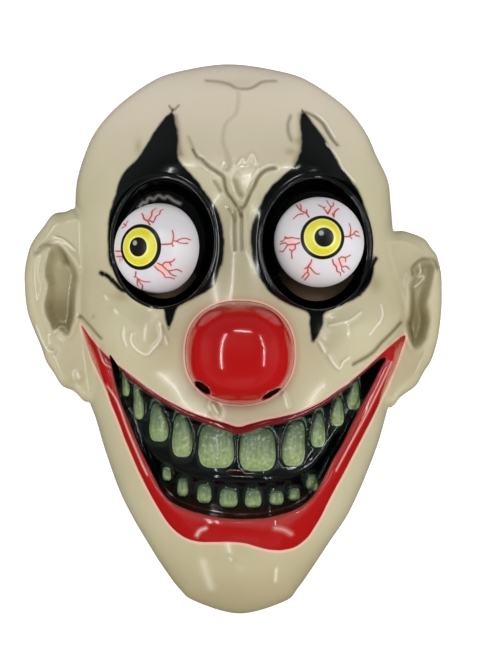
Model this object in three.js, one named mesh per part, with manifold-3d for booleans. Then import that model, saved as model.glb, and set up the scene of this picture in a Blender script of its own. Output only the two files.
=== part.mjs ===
import * as THREE from 'three';
import { mergeVertices } from 'three/addons/utils/BufferGeometryUtils.js';
import Module from 'manifold-3d';

const wasm = await Module();
wasm.setup();

// Driving sizes, in millimetres. The mask lies face up on its trimmed rim.
const maskHeight = 259;
const maskWidth = 195.6;
const headWidth = 150;
const sheet = 1.2;
const gap = 0.3;

const faceDepth = 60;
const faceCentre = [3, -8];
const trimHeight = 5;
const faceRoundPower = 2.6;
const faceRoundness = 0.45;
const swellFadePower = 7;
const faceSides = 56;
const faceRings = 9;
const ringCrowding = 1.6;
const lastRing = 0.985;

const earTrimHeight = 13;
const earDepth = 26;
const earCentreOut = 0.78;
const earCentreUp = 0.13;
const lobeStart = 0.08;
const lobeBlend = 0.14;
const earSides = 24;

const noseCentre = [3.2, -6];
const noseReach = [24.4, 23.2];
const noseSide = 68;
const noseBall = 26;
const noseFlatPower = 2.6;
const noseRoundness = 1 / 2.2;
const noseRings = [0.4, 0.68, 0.86, 0.93, 1];
const noseSides = 26;

const mouthWidth = 149.7;
const mouthHeight = 102.3;
const mouthCorner = [-70.2, 6.4];
const lipRise = 3.2;
const lipEdge = 5;
const steepest = 2.2;
const lipStrips = 7;
const pocketDepth = 6;
const pocketStrips = 4;
const upperToothRise = 4.4;
const lowerToothRise = 3.6;
const toothCorner = 3;
const toothDoming = 0.75;
const toothRings = [0.7, 1];
const toothSides = 8;

const socketFloor = 38;
const socketSlope = [3.4, 2.8];
const socketSlopeTop = 48;
const socketRidge = 3.5;
const ridgeReach = 2.8;
const socketSides = 28;

const slotInset = 1;
const slotTop = 29.6;
const slotCutDepth = 12;
const slotSteps = 16;

const domeRadius = 20.5;
const domeWall = 1;
const domeSides = 26;
const domeRings = 7;
const cupRings = 5;
const flangeThickness = 1.6;
const postRadius = 5.5;
const footRadius = 9;
const footThickness = 3.2;
const footSides = 16;

const strapHoleRadius = 2;
const strapHoleUp = 26;
const strapHoleLevel = 7.5;
const nostrilRadius = 2.4;
const nostrilLevel = 65.5;
const nostrilRise = 3;
const nostrilFrom = 0.75;
const nostrilTo = 1.4;
const holeSides = 12;

// Outline of the face without the ears: shares of half the mask's height
// and of half the head's width.
const faceRows = [
  { up: 0.970, left: -0.367, right: 0.324 },
  { up: 0.927, left: -0.543, right: 0.507 },
  { up: 0.839, left: -0.744, right: 0.714 },
  { up: 0.752, left: -0.870, right: 0.833 },
  { up: 0.665, left: -0.939, right: 0.902 },
  { up: 0.577, left: -0.983, right: 0.972 },
  { up: 0.490, left: -0.995, right: 0.990 },
  { up: 0.403, left: -0.989, right: 1.003 },
  { up: 0.304, left: -0.983, right: 1.022 },
  { up: 0.213, left: -0.989, right: 1.072 },
  { up: 0.122, left: -0.989, right: 1.110 },
  { up: 0.031, left: -0.970, right: 1.091 },
  { up: -0.078, left: -0.945, right: 1.053 },
  { up: -0.209, left: -0.914, right: 0.990 },
  { up: -0.296, left: -0.863, right: 0.953 },
  { up: -0.384, left: -0.819, right: 0.909 },
  { up: -0.471, left: -0.769, right: 0.852 },
  { up: -0.558, left: -0.713, right: 0.789 },
  { up: -0.646, left: -0.637, right: 0.714 },
  { up: -0.733, left: -0.549, right: 0.613 },
  { up: -0.820, left: -0.455, right: 0.513 },
  { up: -0.908, left: -0.342, right: 0.406 },
  { up: -0.955, left: -0.240, right: 0.323 },
];
const crown = { up: 1, across: -0.03 };
const chinTip = { up: -1, across: 0.04 };

// Soft swellings of the face: place and reach as shares of half the head's
// width and half the mask's height, rise as a share of the face's depth.
const faceSwells = [
  { across: 0.04, up: -0.480, wide: 0.56, tall: 0.232, rise: 0.165 },
  { across: 0.03, up: -0.840, wide: 0.36, tall: 0.160, rise: 0.260 },
  { across: -0.68, up: 0.030, wide: 0.32, tall: 0.154, rise: 0.130 },
  { across: 0.80, up: 0.030, wide: 0.32, tall: 0.154, rise: 0.130 },
  { across: -0.52, up: 0.004, wide: 0.14, tall: 0.080, rise: 0.050 },
  { across: 0.68, up: 0.016, wide: 0.14, tall: 0.080, rise: 0.050 },
  { across: -0.44, up: 0.606, wide: 0.35, tall: 0.110, rise: 0.065 },
  { across: 0.52, up: 0.606, wide: 0.35, tall: 0.110, rise: 0.065 },
  { across: 0.04, up: 0.309, wide: 0.13, tall: 0.232, rise: 0.080 },
  { across: -0.82, up: 0.540, wide: 0.25, tall: 0.250, rise: -0.050 },
  { across: 0.88, up: 0.540, wide: 0.25, tall: 0.250, rise: -0.050 },
];

// Outer edge of each ear from lobe to top: shares of half the mask's height
// and half its width. The first and last points lie inside the face.
const earRows = {
  left: [
    { up: -0.20, out: 0.600 },
    { up: -0.23, out: 0.700 },
    { up: -0.19, out: 0.764 },
    { up: -0.17, out: 0.821 },
    { up: -0.12, out: 0.865 },
    { up: -0.08, out: 0.899 },
    { up: -0.03, out: 0.922 },
    { up: 0.05, out: 0.966 },
    { up: 0.11, out: 0.990 },
    { up: 0.18, out: 1.000 },
    { up: 0.25, out: 1.000 },
    { up: 0.32, out: 0.981 },
    { up: 0.36, out: 0.956 },
    { up: 0.40, out: 0.917 },
    { up: 0.45, out: 0.865 },
    { up: 0.46, out: 0.807 },
    { up: 0.47, out: 0.739 },
    { up: 0.40, out: 0.640 },
    { up: 0.10, out: 0.600 },
  ],
  right: [
    { up: -0.20, out: 0.620 },
    { up: -0.25, out: 0.745 },
    { up: -0.21, out: 0.803 },
    { up: -0.17, out: 0.875 },
    { up: -0.12, out: 0.914 },
    { up: -0.08, out: 0.948 },
    { up: -0.03, out: 0.971 },
    { up: 0.02, out: 0.986 },
    { up: 0.10, out: 0.998 },
    { up: 0.18, out: 1.000 },
    { up: 0.24, out: 0.996 },
    { up: 0.30, out: 0.976 },
    { up: 0.33, out: 0.948 },
    { up: 0.36, out: 0.918 },
    { up: 0.38, out: 0.861 },
    { up: 0.39, out: 0.790 },
    { up: 0.36, out: 0.680 },
    { up: 0.10, out: 0.640 },
  ],
};

// Relief of an ear from its bowl out to its edge: shares of the way out
// and of the ear's depth.
const earRelief = [
  { out: 0.00, level: 0.42 },
  { out: 0.26, level: 0.46 },
  { out: 0.42, level: 0.86 },
  { out: 0.56, level: 0.92 },
  { out: 0.72, level: 0.74 },
  { out: 0.86, level: 1.00 },
  { out: 0.95, level: 0.90 },
  { out: 1.00, level: 0.50 },
];
const lobeRelief = [
  { out: 0.00, level: 0.50 },
  { out: 0.42, level: 0.84 },
  { out: 0.72, level: 0.86 },
  { out: 0.90, level: 0.78 },
  { out: 1.00, level: 0.50 },
];

// Mouth from its left corner to its right one: shares of its width along,
// and of its height down from the left corner.
const lipRows = [
  { along: 0.000, low: 0.000, high: 0.000 },
  { along: 0.020, low: 0.082, high: 0.028 },
  { along: 0.050, low: 0.175, high: 0.070 },
  { along: 0.090, low: 0.312, high: 0.119 },
  { along: 0.120, low: 0.454, high: 0.160 },
  { along: 0.160, low: 0.632, high: 0.212 },
  { along: 0.200, low: 0.753, high: 0.258 },
  { along: 0.250, low: 0.874, high: 0.306 },
  { along: 0.300, low: 0.940, high: 0.346 },
  { along: 0.350, low: 0.960, high: 0.377 },
  { along: 0.400, low: 0.956, high: 0.404 },
  { along: 0.450, low: 0.954, high: 0.429 },
  { along: 0.500, low: 0.965, high: 0.440 },
  { along: 0.550, low: 0.982, high: 0.420 },
  { along: 0.600, low: 0.994, high: 0.400 },
  { along: 0.650, low: 0.982, high: 0.383 },
  { along: 0.700, low: 0.940, high: 0.363 },
  { along: 0.750, low: 0.842, high: 0.332 },
  { along: 0.800, low: 0.710, high: 0.274 },
  { along: 0.840, low: 0.593, high: 0.222 },
  { along: 0.880, low: 0.470, high: 0.170 },
  { along: 0.915, low: 0.366, high: 0.126 },
  { along: 0.945, low: 0.285, high: 0.092 },
  { along: 0.975, low: 0.170, high: 0.062 },
  { along: 1.000, low: 0.043, high: 0.043 },
];
const pocketRows = [
  { along: 0.083, low: 0.116, high: 0.116 },
  { along: 0.100, low: 0.220, high: 0.142 },
  { along: 0.120, low: 0.320, high: 0.172 },
  { along: 0.160, low: 0.482, high: 0.233 },
  { along: 0.200, low: 0.590, high: 0.284 },
  { along: 0.250, low: 0.724, high: 0.333 },
  { along: 0.300, low: 0.804, high: 0.374 },
  { along: 0.350, low: 0.832, high: 0.410 },
  { along: 0.400, low: 0.846, high: 0.440 },
  { along: 0.450, low: 0.850, high: 0.466 },
  { along: 0.500, low: 0.848, high: 0.475 },
  { along: 0.550, low: 0.846, high: 0.450 },
  { along: 0.600, low: 0.843, high: 0.432 },
  { along: 0.650, low: 0.825, high: 0.417 },
  { along: 0.700, low: 0.780, high: 0.400 },
  { along: 0.750, low: 0.683, high: 0.356 },
  { along: 0.800, low: 0.559, high: 0.301 },
  { along: 0.840, low: 0.450, high: 0.251 },
  { along: 0.880, low: 0.315, high: 0.199 },
  { along: 0.915, low: 0.200, high: 0.158 },
  { along: 0.935, low: 0.149, high: 0.149 },
];

// Teeth: centre and size as shares of the mouth's width and height.
const upperTeeth = [
  { along: 0.141, down: 0.264, wide: 0.026, tall: 0.111 },
  { along: 0.181, down: 0.340, wide: 0.034, tall: 0.160 },
  { along: 0.244, down: 0.434, wide: 0.059, tall: 0.168 },
  { along: 0.316, down: 0.491, wide: 0.060, tall: 0.188 },
  { along: 0.419, down: 0.533, wide: 0.107, tall: 0.176 },
  { along: 0.544, down: 0.548, wide: 0.108, tall: 0.176 },
  { along: 0.652, down: 0.526, wide: 0.070, tall: 0.190 },
  { along: 0.727, down: 0.467, wide: 0.048, tall: 0.152 },
  { along: 0.787, down: 0.386, wide: 0.040, tall: 0.126 },
  { along: 0.838, down: 0.315, wide: 0.040, tall: 0.120 },
];
const lowerTeeth = [
  { along: 0.267, down: 0.662, wide: 0.030, tall: 0.066 },
  { along: 0.316, down: 0.721, wide: 0.034, tall: 0.081 },
  { along: 0.383, down: 0.745, wide: 0.043, tall: 0.084 },
  { along: 0.456, down: 0.762, wide: 0.054, tall: 0.086 },
  { along: 0.530, down: 0.764, wide: 0.049, tall: 0.083 },
  { along: 0.601, down: 0.764, wide: 0.043, tall: 0.066 },
  { along: 0.656, down: 0.749, wide: 0.036, tall: 0.062 },
  { along: 0.709, down: 0.697, wide: 0.034, tall: 0.066 },
];

// Each eye: socket oval, then the dome's centre and the way it looks.
const eyes = {
  left: {
    socket: [-32.2, 43.9], oval: [23.7, 29.1], dome: [-33.3, 41.1, 53], turn: -27, lift: 2,
  },
  right: {
    socket: [38.3, 43.4], oval: [25.1, 29.8], dome: [39, 43.9, 53.5], turn: 4.4, lift: 5.6,
  },
};

const nostrils = [
  { side: -1, across: -16.3, down: 14.6 },
  { side: 1, across: 14.3, down: 18.2 },
];

const halfHeight = maskHeight / 2;
const halfWidth = maskWidth / 2;
const halfHead = headWidth / 2;
const fullTurn = Math.PI * 2;

function smooth(share) {
  const t = THREE.MathUtils.clamp(share, 0, 1);
  return t * t * (3 - 2 * t);
}

function readRow(rows, key, at, value) {
  const next = rows.findIndex((row) => row[key] >= at);
  if (next === 0) return rows[0][value];
  if (next < 0) return rows[rows.length - 1][value];
  const [a, b] = [rows[next - 1], rows[next]];
  return THREE.MathUtils.mapLinear(at, a[key], b[key], a[value], b[value]);
}

function smoothLoop(points, count) {
  const places = points.map(([x, y]) => new THREE.Vector3(x, y, 0));
  const curve = new THREE.CatmullRomCurve3(places, true);
  return curve.getSpacedPoints(count).slice(0, count).map((p) => [p.x, p.y]);
}

function shrinkLoop(loop, amount) {
  return loop.map(([x, y], i) => {
    const before = loop[(i + loop.length - 1) % loop.length];
    const after = loop[(i + 1) % loop.length];
    const [dx, dy] = [after[0] - before[0], after[1] - before[1]];
    const length = Math.hypot(dx, dy);
    return [x - (dy / length) * amount, y + (dx / length) * amount];
  });
}

// Distance from a centre to a closed loop, for any direction.
function reachOf(loop, [cx, cy]) {
  const steps = 720;
  const reach = [];
  for (let i = 0; i < steps; i += 1) {
    const angle = (i / steps) * fullTurn;
    const [ux, uy] = [Math.cos(angle), Math.sin(angle)];
    let far = 0;
    loop.forEach(([x, y], k) => {
      const [x2, y2] = loop[(k + 1) % loop.length];
      const [ax, ay, ex, ey] = [x - cx, y - cy, x2 - x, y2 - y];
      const det = ux * ey - uy * ex;
      if (det === 0) return;
      const distance = (ax * ey - ay * ex) / det;
      const share = (ax * uy - ay * ux) / det;
      if (share >= 0 && share <= 1) far = Math.max(far, distance);
    });
    reach.push(far);
  }
  return (angle) => {
    const turn = ((angle / fullTurn) % 1 + 1) % 1 * steps;
    const low = Math.floor(turn) % steps;
    const past = turn - Math.floor(turn);
    return THREE.MathUtils.lerp(reach[low], reach[(low + 1) % steps], past);
  };
}

// A flat disc of triangles: rings are shares of the reach, the last is the edge,
// which can have a reach of its own.
function discRegion([cx, cy], reach, rings, segments, edgeReach = reach) {
  const points = [[cx, cy]];
  const faces = [];
  rings.forEach((share) => {
    for (let i = 0; i < segments; i += 1) {
      const angle = (i / segments) * fullTurn;
      const r = share < 1 ? Math.min(reach(angle) * share, edgeReach(angle) * lastRing) : edgeReach(angle);
      points.push([cx + Math.cos(angle) * r, cy + Math.sin(angle) * r]);
    }
  });
  const at = (ring, i) => 1 + ring * segments + (i % segments);
  for (let i = 0; i < segments; i += 1) {
    faces.push([0, at(0, i), at(0, i + 1)]);
    for (let ring = 1; ring < rings.length; ring += 1) {
      faces.push([at(ring - 1, i), at(ring, i), at(ring, i + 1)]);
      faces.push([at(ring - 1, i), at(ring, i + 1), at(ring - 1, i + 1)]);
    }
  }
  const edge = Array.from({ length: segments }, (_, i) => at(rings.length - 1, i));
  return { points, faces, edge };
}

// A flat crescent of triangles between a low and a high edge that meet at both ends.
function stripRegion(columns, across) {
  const points = [[columns[0].x, columns[0].low]];
  const inner = columns.slice(1, -1);
  inner.forEach(({ x, low, high }) => {
    for (let j = 0; j <= across; j += 1) {
      points.push([x, THREE.MathUtils.lerp(low, high, 0.5 - Math.cos((j / across) * Math.PI) / 2)]);
    }
  });
  const last = columns[columns.length - 1];
  points.push([last.x, last.low]);
  const end = points.length - 1;
  const at = (column, j) => 1 + column * (across + 1) + j;
  const faces = [];
  for (let j = 0; j < across; j += 1) {
    faces.push([0, at(0, j), at(0, j + 1)]);
    faces.push([at(inner.length - 1, j), end, at(inner.length - 1, j + 1)]);
    for (let c = 0; c < inner.length - 1; c += 1) {
      faces.push([at(c, j), at(c + 1, j), at(c + 1, j + 1)]);
      faces.push([at(c, j), at(c + 1, j + 1), at(c, j + 1)]);
    }
  }
  const [front, back] = [0, across].map((j) => inner.map((_, c) => at(c, j)));
  const edge = [0, ...front, end, ...back.reverse()];
  return { points, faces, edge };
}

function closedSolid(vertices, triangles) {
  return new wasm.Manifold(new wasm.Mesh({
    numProp: 3,
    vertProperties: new Float32Array(vertices.flat()),
    triVerts: new Uint32Array(triangles.flat()),
  }));
}

// Closed solid over a region, between a bottom level and a top surface.
function raise({ points, faces, edge }, bottom, topAt) {
  const count = points.length;
  const top = points.map(([x, y]) => [x, y, topAt(x, y)]);
  const base = points.map(([x, y]) => [x, y, bottom]);
  const triangles = faces.flatMap(([a, b, c]) => [[a, b, c], [a + count, c + count, b + count]]);
  edge.forEach((a, i) => {
    const b = edge[(i + 1) % edge.length];
    triangles.push([a, a + count, b + count], [a, b + count, b]);
  });
  return closedSolid([...top, ...base], triangles);
}

// Closed solid over a region, from a bottom surface up past the whole mask.
function above({ points, faces, edge }, bottomAt) {
  const turned = faces.map(([a, b, c]) => [a, c, b]);
  return raise({ points, faces: turned, edge: [...edge].reverse() }, faceDepth * 2, bottomAt);
}

// Closed solid through stacked loops with equal numbers of points, lowest first.
function stack(loops) {
  const size = loops[0].points.length;
  const vertices = loops.flatMap(({ points, level }) => points.map(([x, y]) => [x, y, level]));
  const middle = (points) => [0, 1].map((k) => points.reduce((sum, p) => sum + p[k], 0) / size);
  const last = loops[loops.length - 1];
  vertices.push([...middle(loops[0].points), loops[0].level], [...middle(last.points), last.level]);
  const [under, over] = [vertices.length - 2, vertices.length - 1];
  const top = (loops.length - 1) * size;
  const triangles = [];
  for (let i = 0; i < size; i += 1) {
    const j = (i + 1) % size;
    triangles.push([under, j, i], [over, top + i, top + j]);
    for (let k = 0; k < top; k += size) {
      triangles.push([k + i, k + j, k + size + j], [k + i, k + size + j, k + size + i]);
    }
  }
  return closedSolid(vertices, triangles);
}

function solidOf(geometry) {
  geometry.deleteAttribute('normal');
  geometry.deleteAttribute('uv');
  const merged = mergeVertices(geometry);
  const points = merged.attributes.position.array;
  return new wasm.Manifold(new wasm.Mesh({
    numProp: 3,
    vertProperties: new Float32Array(points),
    triVerts: new Uint32Array(merged.index.array),
  }));
}

function rod(radius, from, to, sides = 20) {
  const [a, b] = [new THREE.Vector3(...from), new THREE.Vector3(...to)];
  const geometry = new THREE.CylinderGeometry(radius, radius, a.distanceTo(b), sides);
  const way = b.clone().sub(a).normalize();
  geometry.applyQuaternion(new THREE.Quaternion().setFromUnitVectors(new THREE.Vector3(0, 1, 0), way));
  const middle = a.add(b).multiplyScalar(0.5);
  geometry.translate(middle.x, middle.y, middle.z);
  return solidOf(geometry);
}

// Underside of a sheet whose upper side is given: a ball of the sheet's
// thickness rolled under it.
function under(topAt) {
  const offsets = [[0, 0]];
  [0.5, 0.85, 1].forEach((share) => {
    for (let i = 0; i < 8; i += 1) {
      const angle = (i / 8) * fullTurn;
      offsets.push([Math.cos(angle) * share * sheet, Math.sin(angle) * share * sheet]);
    }
  });
  return (x, y) => Math.min(...offsets.map(([dx, dy]) => (
    topAt(x + dx, y + dy) - Math.sqrt(Math.max(0, sheet * sheet - dx * dx - dy * dy)))));
}

function ovalReach([a, b], grow = 0) {
  return (angle) => {
    const [p, q] = [a + grow, b + grow];
    return (p * q) / Math.hypot(q * Math.cos(angle), p * Math.sin(angle));
  };
}

function ovalLoop([cx, cy], [a, b], count = socketSides) {
  return Array.from({ length: count }, (_, i) => {
    const angle = (i / count) * fullTurn;
    return [cx + a * Math.cos(angle), cy + b * Math.sin(angle)];
  });
}

// Rings that crowd towards the edge, where the surface turns down.
function edgeRings(count) {
  return Array.from({ length: count }, (_, i) => 1 - (1 - (i + 1) / count) ** ringCrowding);
}

const faceLoop = smoothLoop([
  [crown.across * halfHead, crown.up * halfHeight],
  ...faceRows.map((row) => [row.left * halfHead, row.up * halfHeight]),
  [chinTip.across * halfHead, chinTip.up * halfHeight],
  ...faceRows.map((row) => [row.right * halfHead, row.up * halfHeight]).reverse(),
], 180);
const faceReach = reachOf(faceLoop, faceCentre);

function faceTop(x, y) {
  const [dx, dy] = [x - faceCentre[0], y - faceCentre[1]];
  const share = Math.min(1, Math.hypot(dx, dy) / faceReach(Math.atan2(dy, dx)));
  const rounding = Math.max(0, 1 - share ** faceRoundPower) ** faceRoundness;
  const fade = Math.sqrt(Math.max(0, 1 - share ** swellFadePower));
  const swell = faceSwells.reduce((sum, { across, up, wide, tall, rise }) => {
    const u = (x - across * halfHead) / (wide * halfHead);
    const v = (y - up * halfHeight) / (tall * halfHeight);
    return sum + rise * faceDepth * Math.exp(-u * u - v * v);
  }, 0);
  return trimHeight + (faceDepth - trimHeight) * rounding + swell * fade;
}

function makeEar(side) {
  const way = side === 'left' ? -1 : 1;
  const loop = earRows[side].map(({ up, out }) => [way * out * halfWidth, up * halfHeight]);
  const outline = smoothLoop(way > 0 ? loop : loop.reverse(), 80);
  const centre = [way * earCentreOut * halfWidth, earCentreUp * halfHeight];
  const reach = reachOf(outline, centre);
  const topAt = (x, y) => {
    const [dx, dy] = [x - centre[0], y - centre[1]];
    const out = Math.min(1, Math.hypot(dx, dy) / reach(Math.atan2(dy, dx)));
    const lobe = smooth((-dy / halfHeight - lobeStart) / lobeBlend);
    const level = THREE.MathUtils.lerp(
      readRow(earRelief, 'out', out, 'level'), readRow(lobeRelief, 'out', out, 'level'), lobe);
    return Math.max(earTrimHeight, level * earDepth);
  };
  const rings = earRelief.slice(1).map(({ out }) => out);
  const inner = reachOf(shrinkLoop(outline, sheet), centre);
  return {
    outer: raise(discRegion(centre, reach, rings, earSides), 0, topAt),
    hollow: raise(discRegion(centre, reach, rings, earSides, inner), -1, under(topAt)),
  };
}

function noseTop(x, y) {
  const [dx, dy] = [(x - noseCentre[0]) / noseReach[0], (y - noseCentre[1]) / noseReach[1]];
  const share = Math.min(1, Math.hypot(dx, dy));
  return noseSide + noseBall * Math.max(0, 1 - share ** noseFlatPower) ** noseRoundness;
}

function toMouth(rows) {
  return rows.map(({ along, low, high }) => ({
    x: mouthCorner[0] + along * mouthWidth,
    low: mouthCorner[1] - low * mouthHeight,
    high: mouthCorner[1] - high * mouthHeight,
  }));
}

// The same crescent with a disc rolled round its edges.
function rollRound(columns, radius) {
  const shifts = [-1, -0.9, -0.6, -0.3, 0, 0.3, 0.6, 0.9, 1];
  const grown = columns.map(({ x }) => {
    const edge = (side, way) => way * Math.max(...shifts.map((share) => (
      way * readRow(columns, 'x', x + share * radius, side) + radius * Math.sqrt(1 - share * share))));
    return { x, low: edge('low', -1), high: edge('high', 1) };
  });
  const tip = ({ x, low, high }, way) => {
    const middle = (low + high) / 2;
    return { x: x + way * radius, low: middle, high: middle };
  };
  return [tip(columns[0], -1), ...grown, tip(columns[columns.length - 1], 1)];
}

const lipColumns = toMouth(lipRows);

// How much further up a step off the face's surface reaches where it slopes.
function slant(x, y) {
  const dx = (faceTop(x + sheet, y) - faceTop(x - sheet, y)) / (2 * sheet);
  const dy = (faceTop(x, y + sheet) - faceTop(x, y - sheet)) / (2 * sheet);
  return Math.min(steepest, Math.hypot(1, dx, dy));
}

function lipTop(x, y) {
  const [low, high] = [readRow(lipColumns, 'x', x, 'low'), readRow(lipColumns, 'x', x, 'high')];
  const inside = Math.min(y - low, high - y);
  const share = THREE.MathUtils.clamp(inside / lipEdge, 0, 1);
  return faceTop(x, y) - sheet + (lipRise * slant(x, y) + sheet) * Math.sqrt(share * (2 - share));
}

function pocketFloor(x, y) {
  return faceTop(x, y) - pocketDepth * slant(x, y);
}

function makeTooth({ along, down, wide, tall }, rise, shrink) {
  const centre = [mouthCorner[0] + along * mouthWidth, mouthCorner[1] - down * mouthHeight];
  const half = [(wide * mouthWidth) / 2 - shrink, (tall * mouthHeight) / 2 - shrink];
  const reach = (angle) => {
    const [c, s] = [Math.abs(Math.cos(angle)) / half[0], Math.abs(Math.sin(angle)) / half[1]];
    return (c ** toothCorner + s ** toothCorner) ** (-1 / toothCorner);
  };
  const crest = (x, y) => {
    const [dx, dy] = [x - centre[0], y - centre[1]];
    const share = Math.min(1, Math.hypot(dx, dy) / reach(Math.atan2(dy, dx)));
    return pocketFloor(x, y) - shrink + rise * Math.sqrt(1 - toothDoming * share * share);
  };
  return raise(discRegion(centre, reach, toothRings, toothSides), faceDepth / 6, crest);
}

function makeSocket({ socket, oval }) {
  const ridge = [
    { away: -1, level: socketRidge },
    { away: ridgeReach / 2, level: socketRidge * 0.75 },
    { away: ridgeReach, level: -sheet },
  ];
  const outer = ovalReach(oval, ridgeReach);
  const topAt = (x, y) => {
    const share = Math.hypot((x - socket[0]) / oval[0], (y - socket[1]) / oval[1]);
    const away = (share - 1) * ((oval[0] + oval[1]) / 2);
    return faceTop(x, y) + readRow(ridge, 'away', away, 'level');
  };
  const rings = ridge.map(({ away }) => (oval[0] + away) / (oval[0] + ridgeReach));
  const wallLoops = (grow, drop) => {
    const floor = ovalLoop(socket, oval.map((half, k) => half - socketSlope[k] + grow));
    const wall = ovalLoop(socket, oval.map((half) => half + grow));
    return [
      { points: floor, level: socketFloor - drop },
      { points: wall, level: socketSlopeTop },
      { points: wall, level: faceDepth * 2 },
    ];
  };
  return {
    ridge: raise(discRegion(socket, outer, rings, socketSides), faceDepth / 3, topAt),
    recess: stack(wallLoops(0, 0)),
    cup: stack(wallLoops(sheet, sheet)),
  };
}

// The see-through slot: the part of the socket floor under the dome's lower edge.
function makeSlot({ socket, oval }) {
  const half = [oval[0] - socketSlope[0] - slotInset, oval[1] - socketSlope[1] - slotInset];
  const start = Math.asin((slotTop - socket[1]) / half[1]);
  const lower = Array.from({ length: slotSteps + 1 }, (_, i) => {
    const angle = THREE.MathUtils.lerp(Math.PI - start, fullTurn + start, i / slotSteps);
    return [socket[0] + half[0] * Math.cos(angle), socket[1] + half[1] * Math.sin(angle)];
  });
  return stack([
    { points: lower, level: socketFloor - slotCutDepth / 2 },
    { points: lower, level: socketFloor + slotCutDepth / 2 },
  ]);
}

function makeFaceShell() {
  const ears = [makeEar('left'), makeEar('right')];
  const sockets = Object.values(eyes).map(makeSocket);
  const faceInner = reachOf(shrinkLoop(faceLoop, sheet), faceCentre);
  const rings = edgeRings(faceRings);

  let outer = raise(discRegion(faceCentre, faceReach, rings, faceSides), 0, faceTop);
  const faceHollow = discRegion(faceCentre, faceReach, rings, faceSides, faceInner);
  let hollow = raise(faceHollow, -1, under(faceTop));
  ears.forEach((ear) => {
    outer = outer.add(ear.outer);
    hollow = hollow.add(ear.hollow);
  });
  const noseDisc = (grow) => discRegion(
    noseCentre, ovalReach(noseReach), noseRings, noseSides, ovalReach(noseReach, grow));
  outer = outer.add(raise(noseDisc(0), faceDepth / 2, noseTop));
  hollow = hollow.add(raise(noseDisc(-sheet), faceDepth / 2, under(noseTop)));

  const lipRegion = stripRegion(lipColumns, lipStrips);
  const pocketColumns = toMouth(pocketRows);
  const pocket = above(stripRegion(pocketColumns, pocketStrips), pocketFloor);
  const pocketWall = above(stripRegion(rollRound(pocketColumns, sheet), pocketStrips), under(pocketFloor));
  outer = outer.add(raise(lipRegion, faceDepth / 6, lipTop)).subtract(pocket);
  hollow = hollow.add(raise(lipRegion, faceDepth / 6, under(lipTop))).subtract(pocketWall);

  upperTeeth.forEach((tooth) => {
    outer = outer.add(makeTooth(tooth, upperToothRise, 0));
    hollow = hollow.add(makeTooth(tooth, upperToothRise, sheet));
  });
  lowerTeeth.forEach((tooth) => {
    outer = outer.add(makeTooth(tooth, lowerToothRise, 0));
  });

  sockets.forEach(({ ridge, cup: socketCup }) => {
    outer = outer.add(ridge);
    hollow = hollow.subtract(socketCup);
  });
  let shell = outer.subtract(hollow);
  sockets.forEach(({ recess }) => {
    shell = shell.subtract(recess);
  });
  Object.values(eyes).forEach((eye) => {
    shell = shell.subtract(makeSlot(eye));
  });
  [-1, 1].forEach((way) => {
    const outside = [way * (halfWidth + sheet * 3), strapHoleUp, strapHoleLevel];
    const inside = [way * (halfWidth - sheet * 5), strapHoleUp, strapHoleLevel];
    shell = shell.subtract(rod(strapHoleRadius, inside, outside, holeSides));
  });
  nostrils.forEach(({ across, down }) => {
    const at = (share, level) => [noseCentre[0] + across * share, noseCentre[1] - down * share, level];
    const [from, to] = [at(nostrilFrom, nostrilLevel), at(nostrilTo, nostrilLevel + nostrilRise)];
    shell = shell.subtract(rod(nostrilRadius, from, to, holeSides));
  });
  return shell;
}

function lookOf({ turn, lift }) {
  const [sideways, upwards] = [THREE.MathUtils.degToRad(turn), THREE.MathUtils.degToRad(lift)];
  return new THREE.Vector3(
    Math.sin(sideways) * Math.cos(upwards), Math.sin(upwards), Math.cos(sideways) * Math.cos(upwards));
}

// Hollow half ball with its open side on its own XY plane.
function domeGeometry() {
  const profile = [];
  const inside = domeRadius - domeWall;
  const arc = (radius, steps, from, to) => {
    for (let i = 0; i <= steps; i += 1) {
      const angle = THREE.MathUtils.lerp(from, to, i / steps);
      profile.push(new THREE.Vector2(Math.max(0, Math.sin(angle) * radius), Math.cos(angle) * radius));
    }
  };
  arc(inside, cupRings, 0, Math.PI / 2);
  arc(domeRadius, domeRings, Math.PI / 2, 0);
  profile[0].x = 0;
  profile[profile.length - 1].x = 0;
  const geometry = new THREE.LatheGeometry(profile, domeSides);
  geometry.rotateX(Math.PI / 2);
  return geometry;
}

// Flange inside the dome's open side, post behind it and foot on the socket floor.
function makeMount(eye) {
  const centre = new THREE.Vector3(...eye.dome);
  const look = lookOf(eye);
  const front = centre.clone().addScaledVector(look, flangeThickness);
  const flangeRadius = Math.sqrt((domeRadius - domeWall) ** 2 - flangeThickness ** 2) - gap;
  const footLevel = socketFloor + gap;
  const reach = (centre.z - footLevel) / look.z;
  const footCentre = centre.clone().addScaledVector(look, -reach);
  const end = centre.clone().addScaledVector(look, -reach - postRadius);
  const flange = rod(flangeRadius, centre.toArray(), front.toArray(), domeSides);
  const post = rod(postRadius, front.toArray(), end.toArray(), holeSides);
  const footTop = [footCentre.x, footCentre.y, footLevel + footThickness];
  const foot = rod(footRadius, footCentre.toArray(), footTop, footSides);
  const below = [footCentre.x, footCentre.y, 0];
  const floorBlock = rod(footRadius * 3, below, footCentre.toArray(), holeSides);
  return flange.add(post).subtract(floorBlock).add(foot);
}

function geometryOf(solid) {
  const mesh = solid.getMesh();
  const geometry = new THREE.BufferGeometry();
  geometry.setAttribute('position', new THREE.BufferAttribute(new Float32Array(mesh.vertProperties), 3));
  geometry.setIndex(new THREE.BufferAttribute(new Uint32Array(mesh.triVerts), 1));
  geometry.computeVertexNormals();
  return geometry;
}

function addPiece(group, name, geometry, color, roughness) {
  const material = new THREE.MeshStandardMaterial({ color, roughness, metalness: 0 });
  const mesh = new THREE.Mesh(geometry, material);
  mesh.name = name;
  group.add(mesh);
  return mesh;
}

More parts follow.
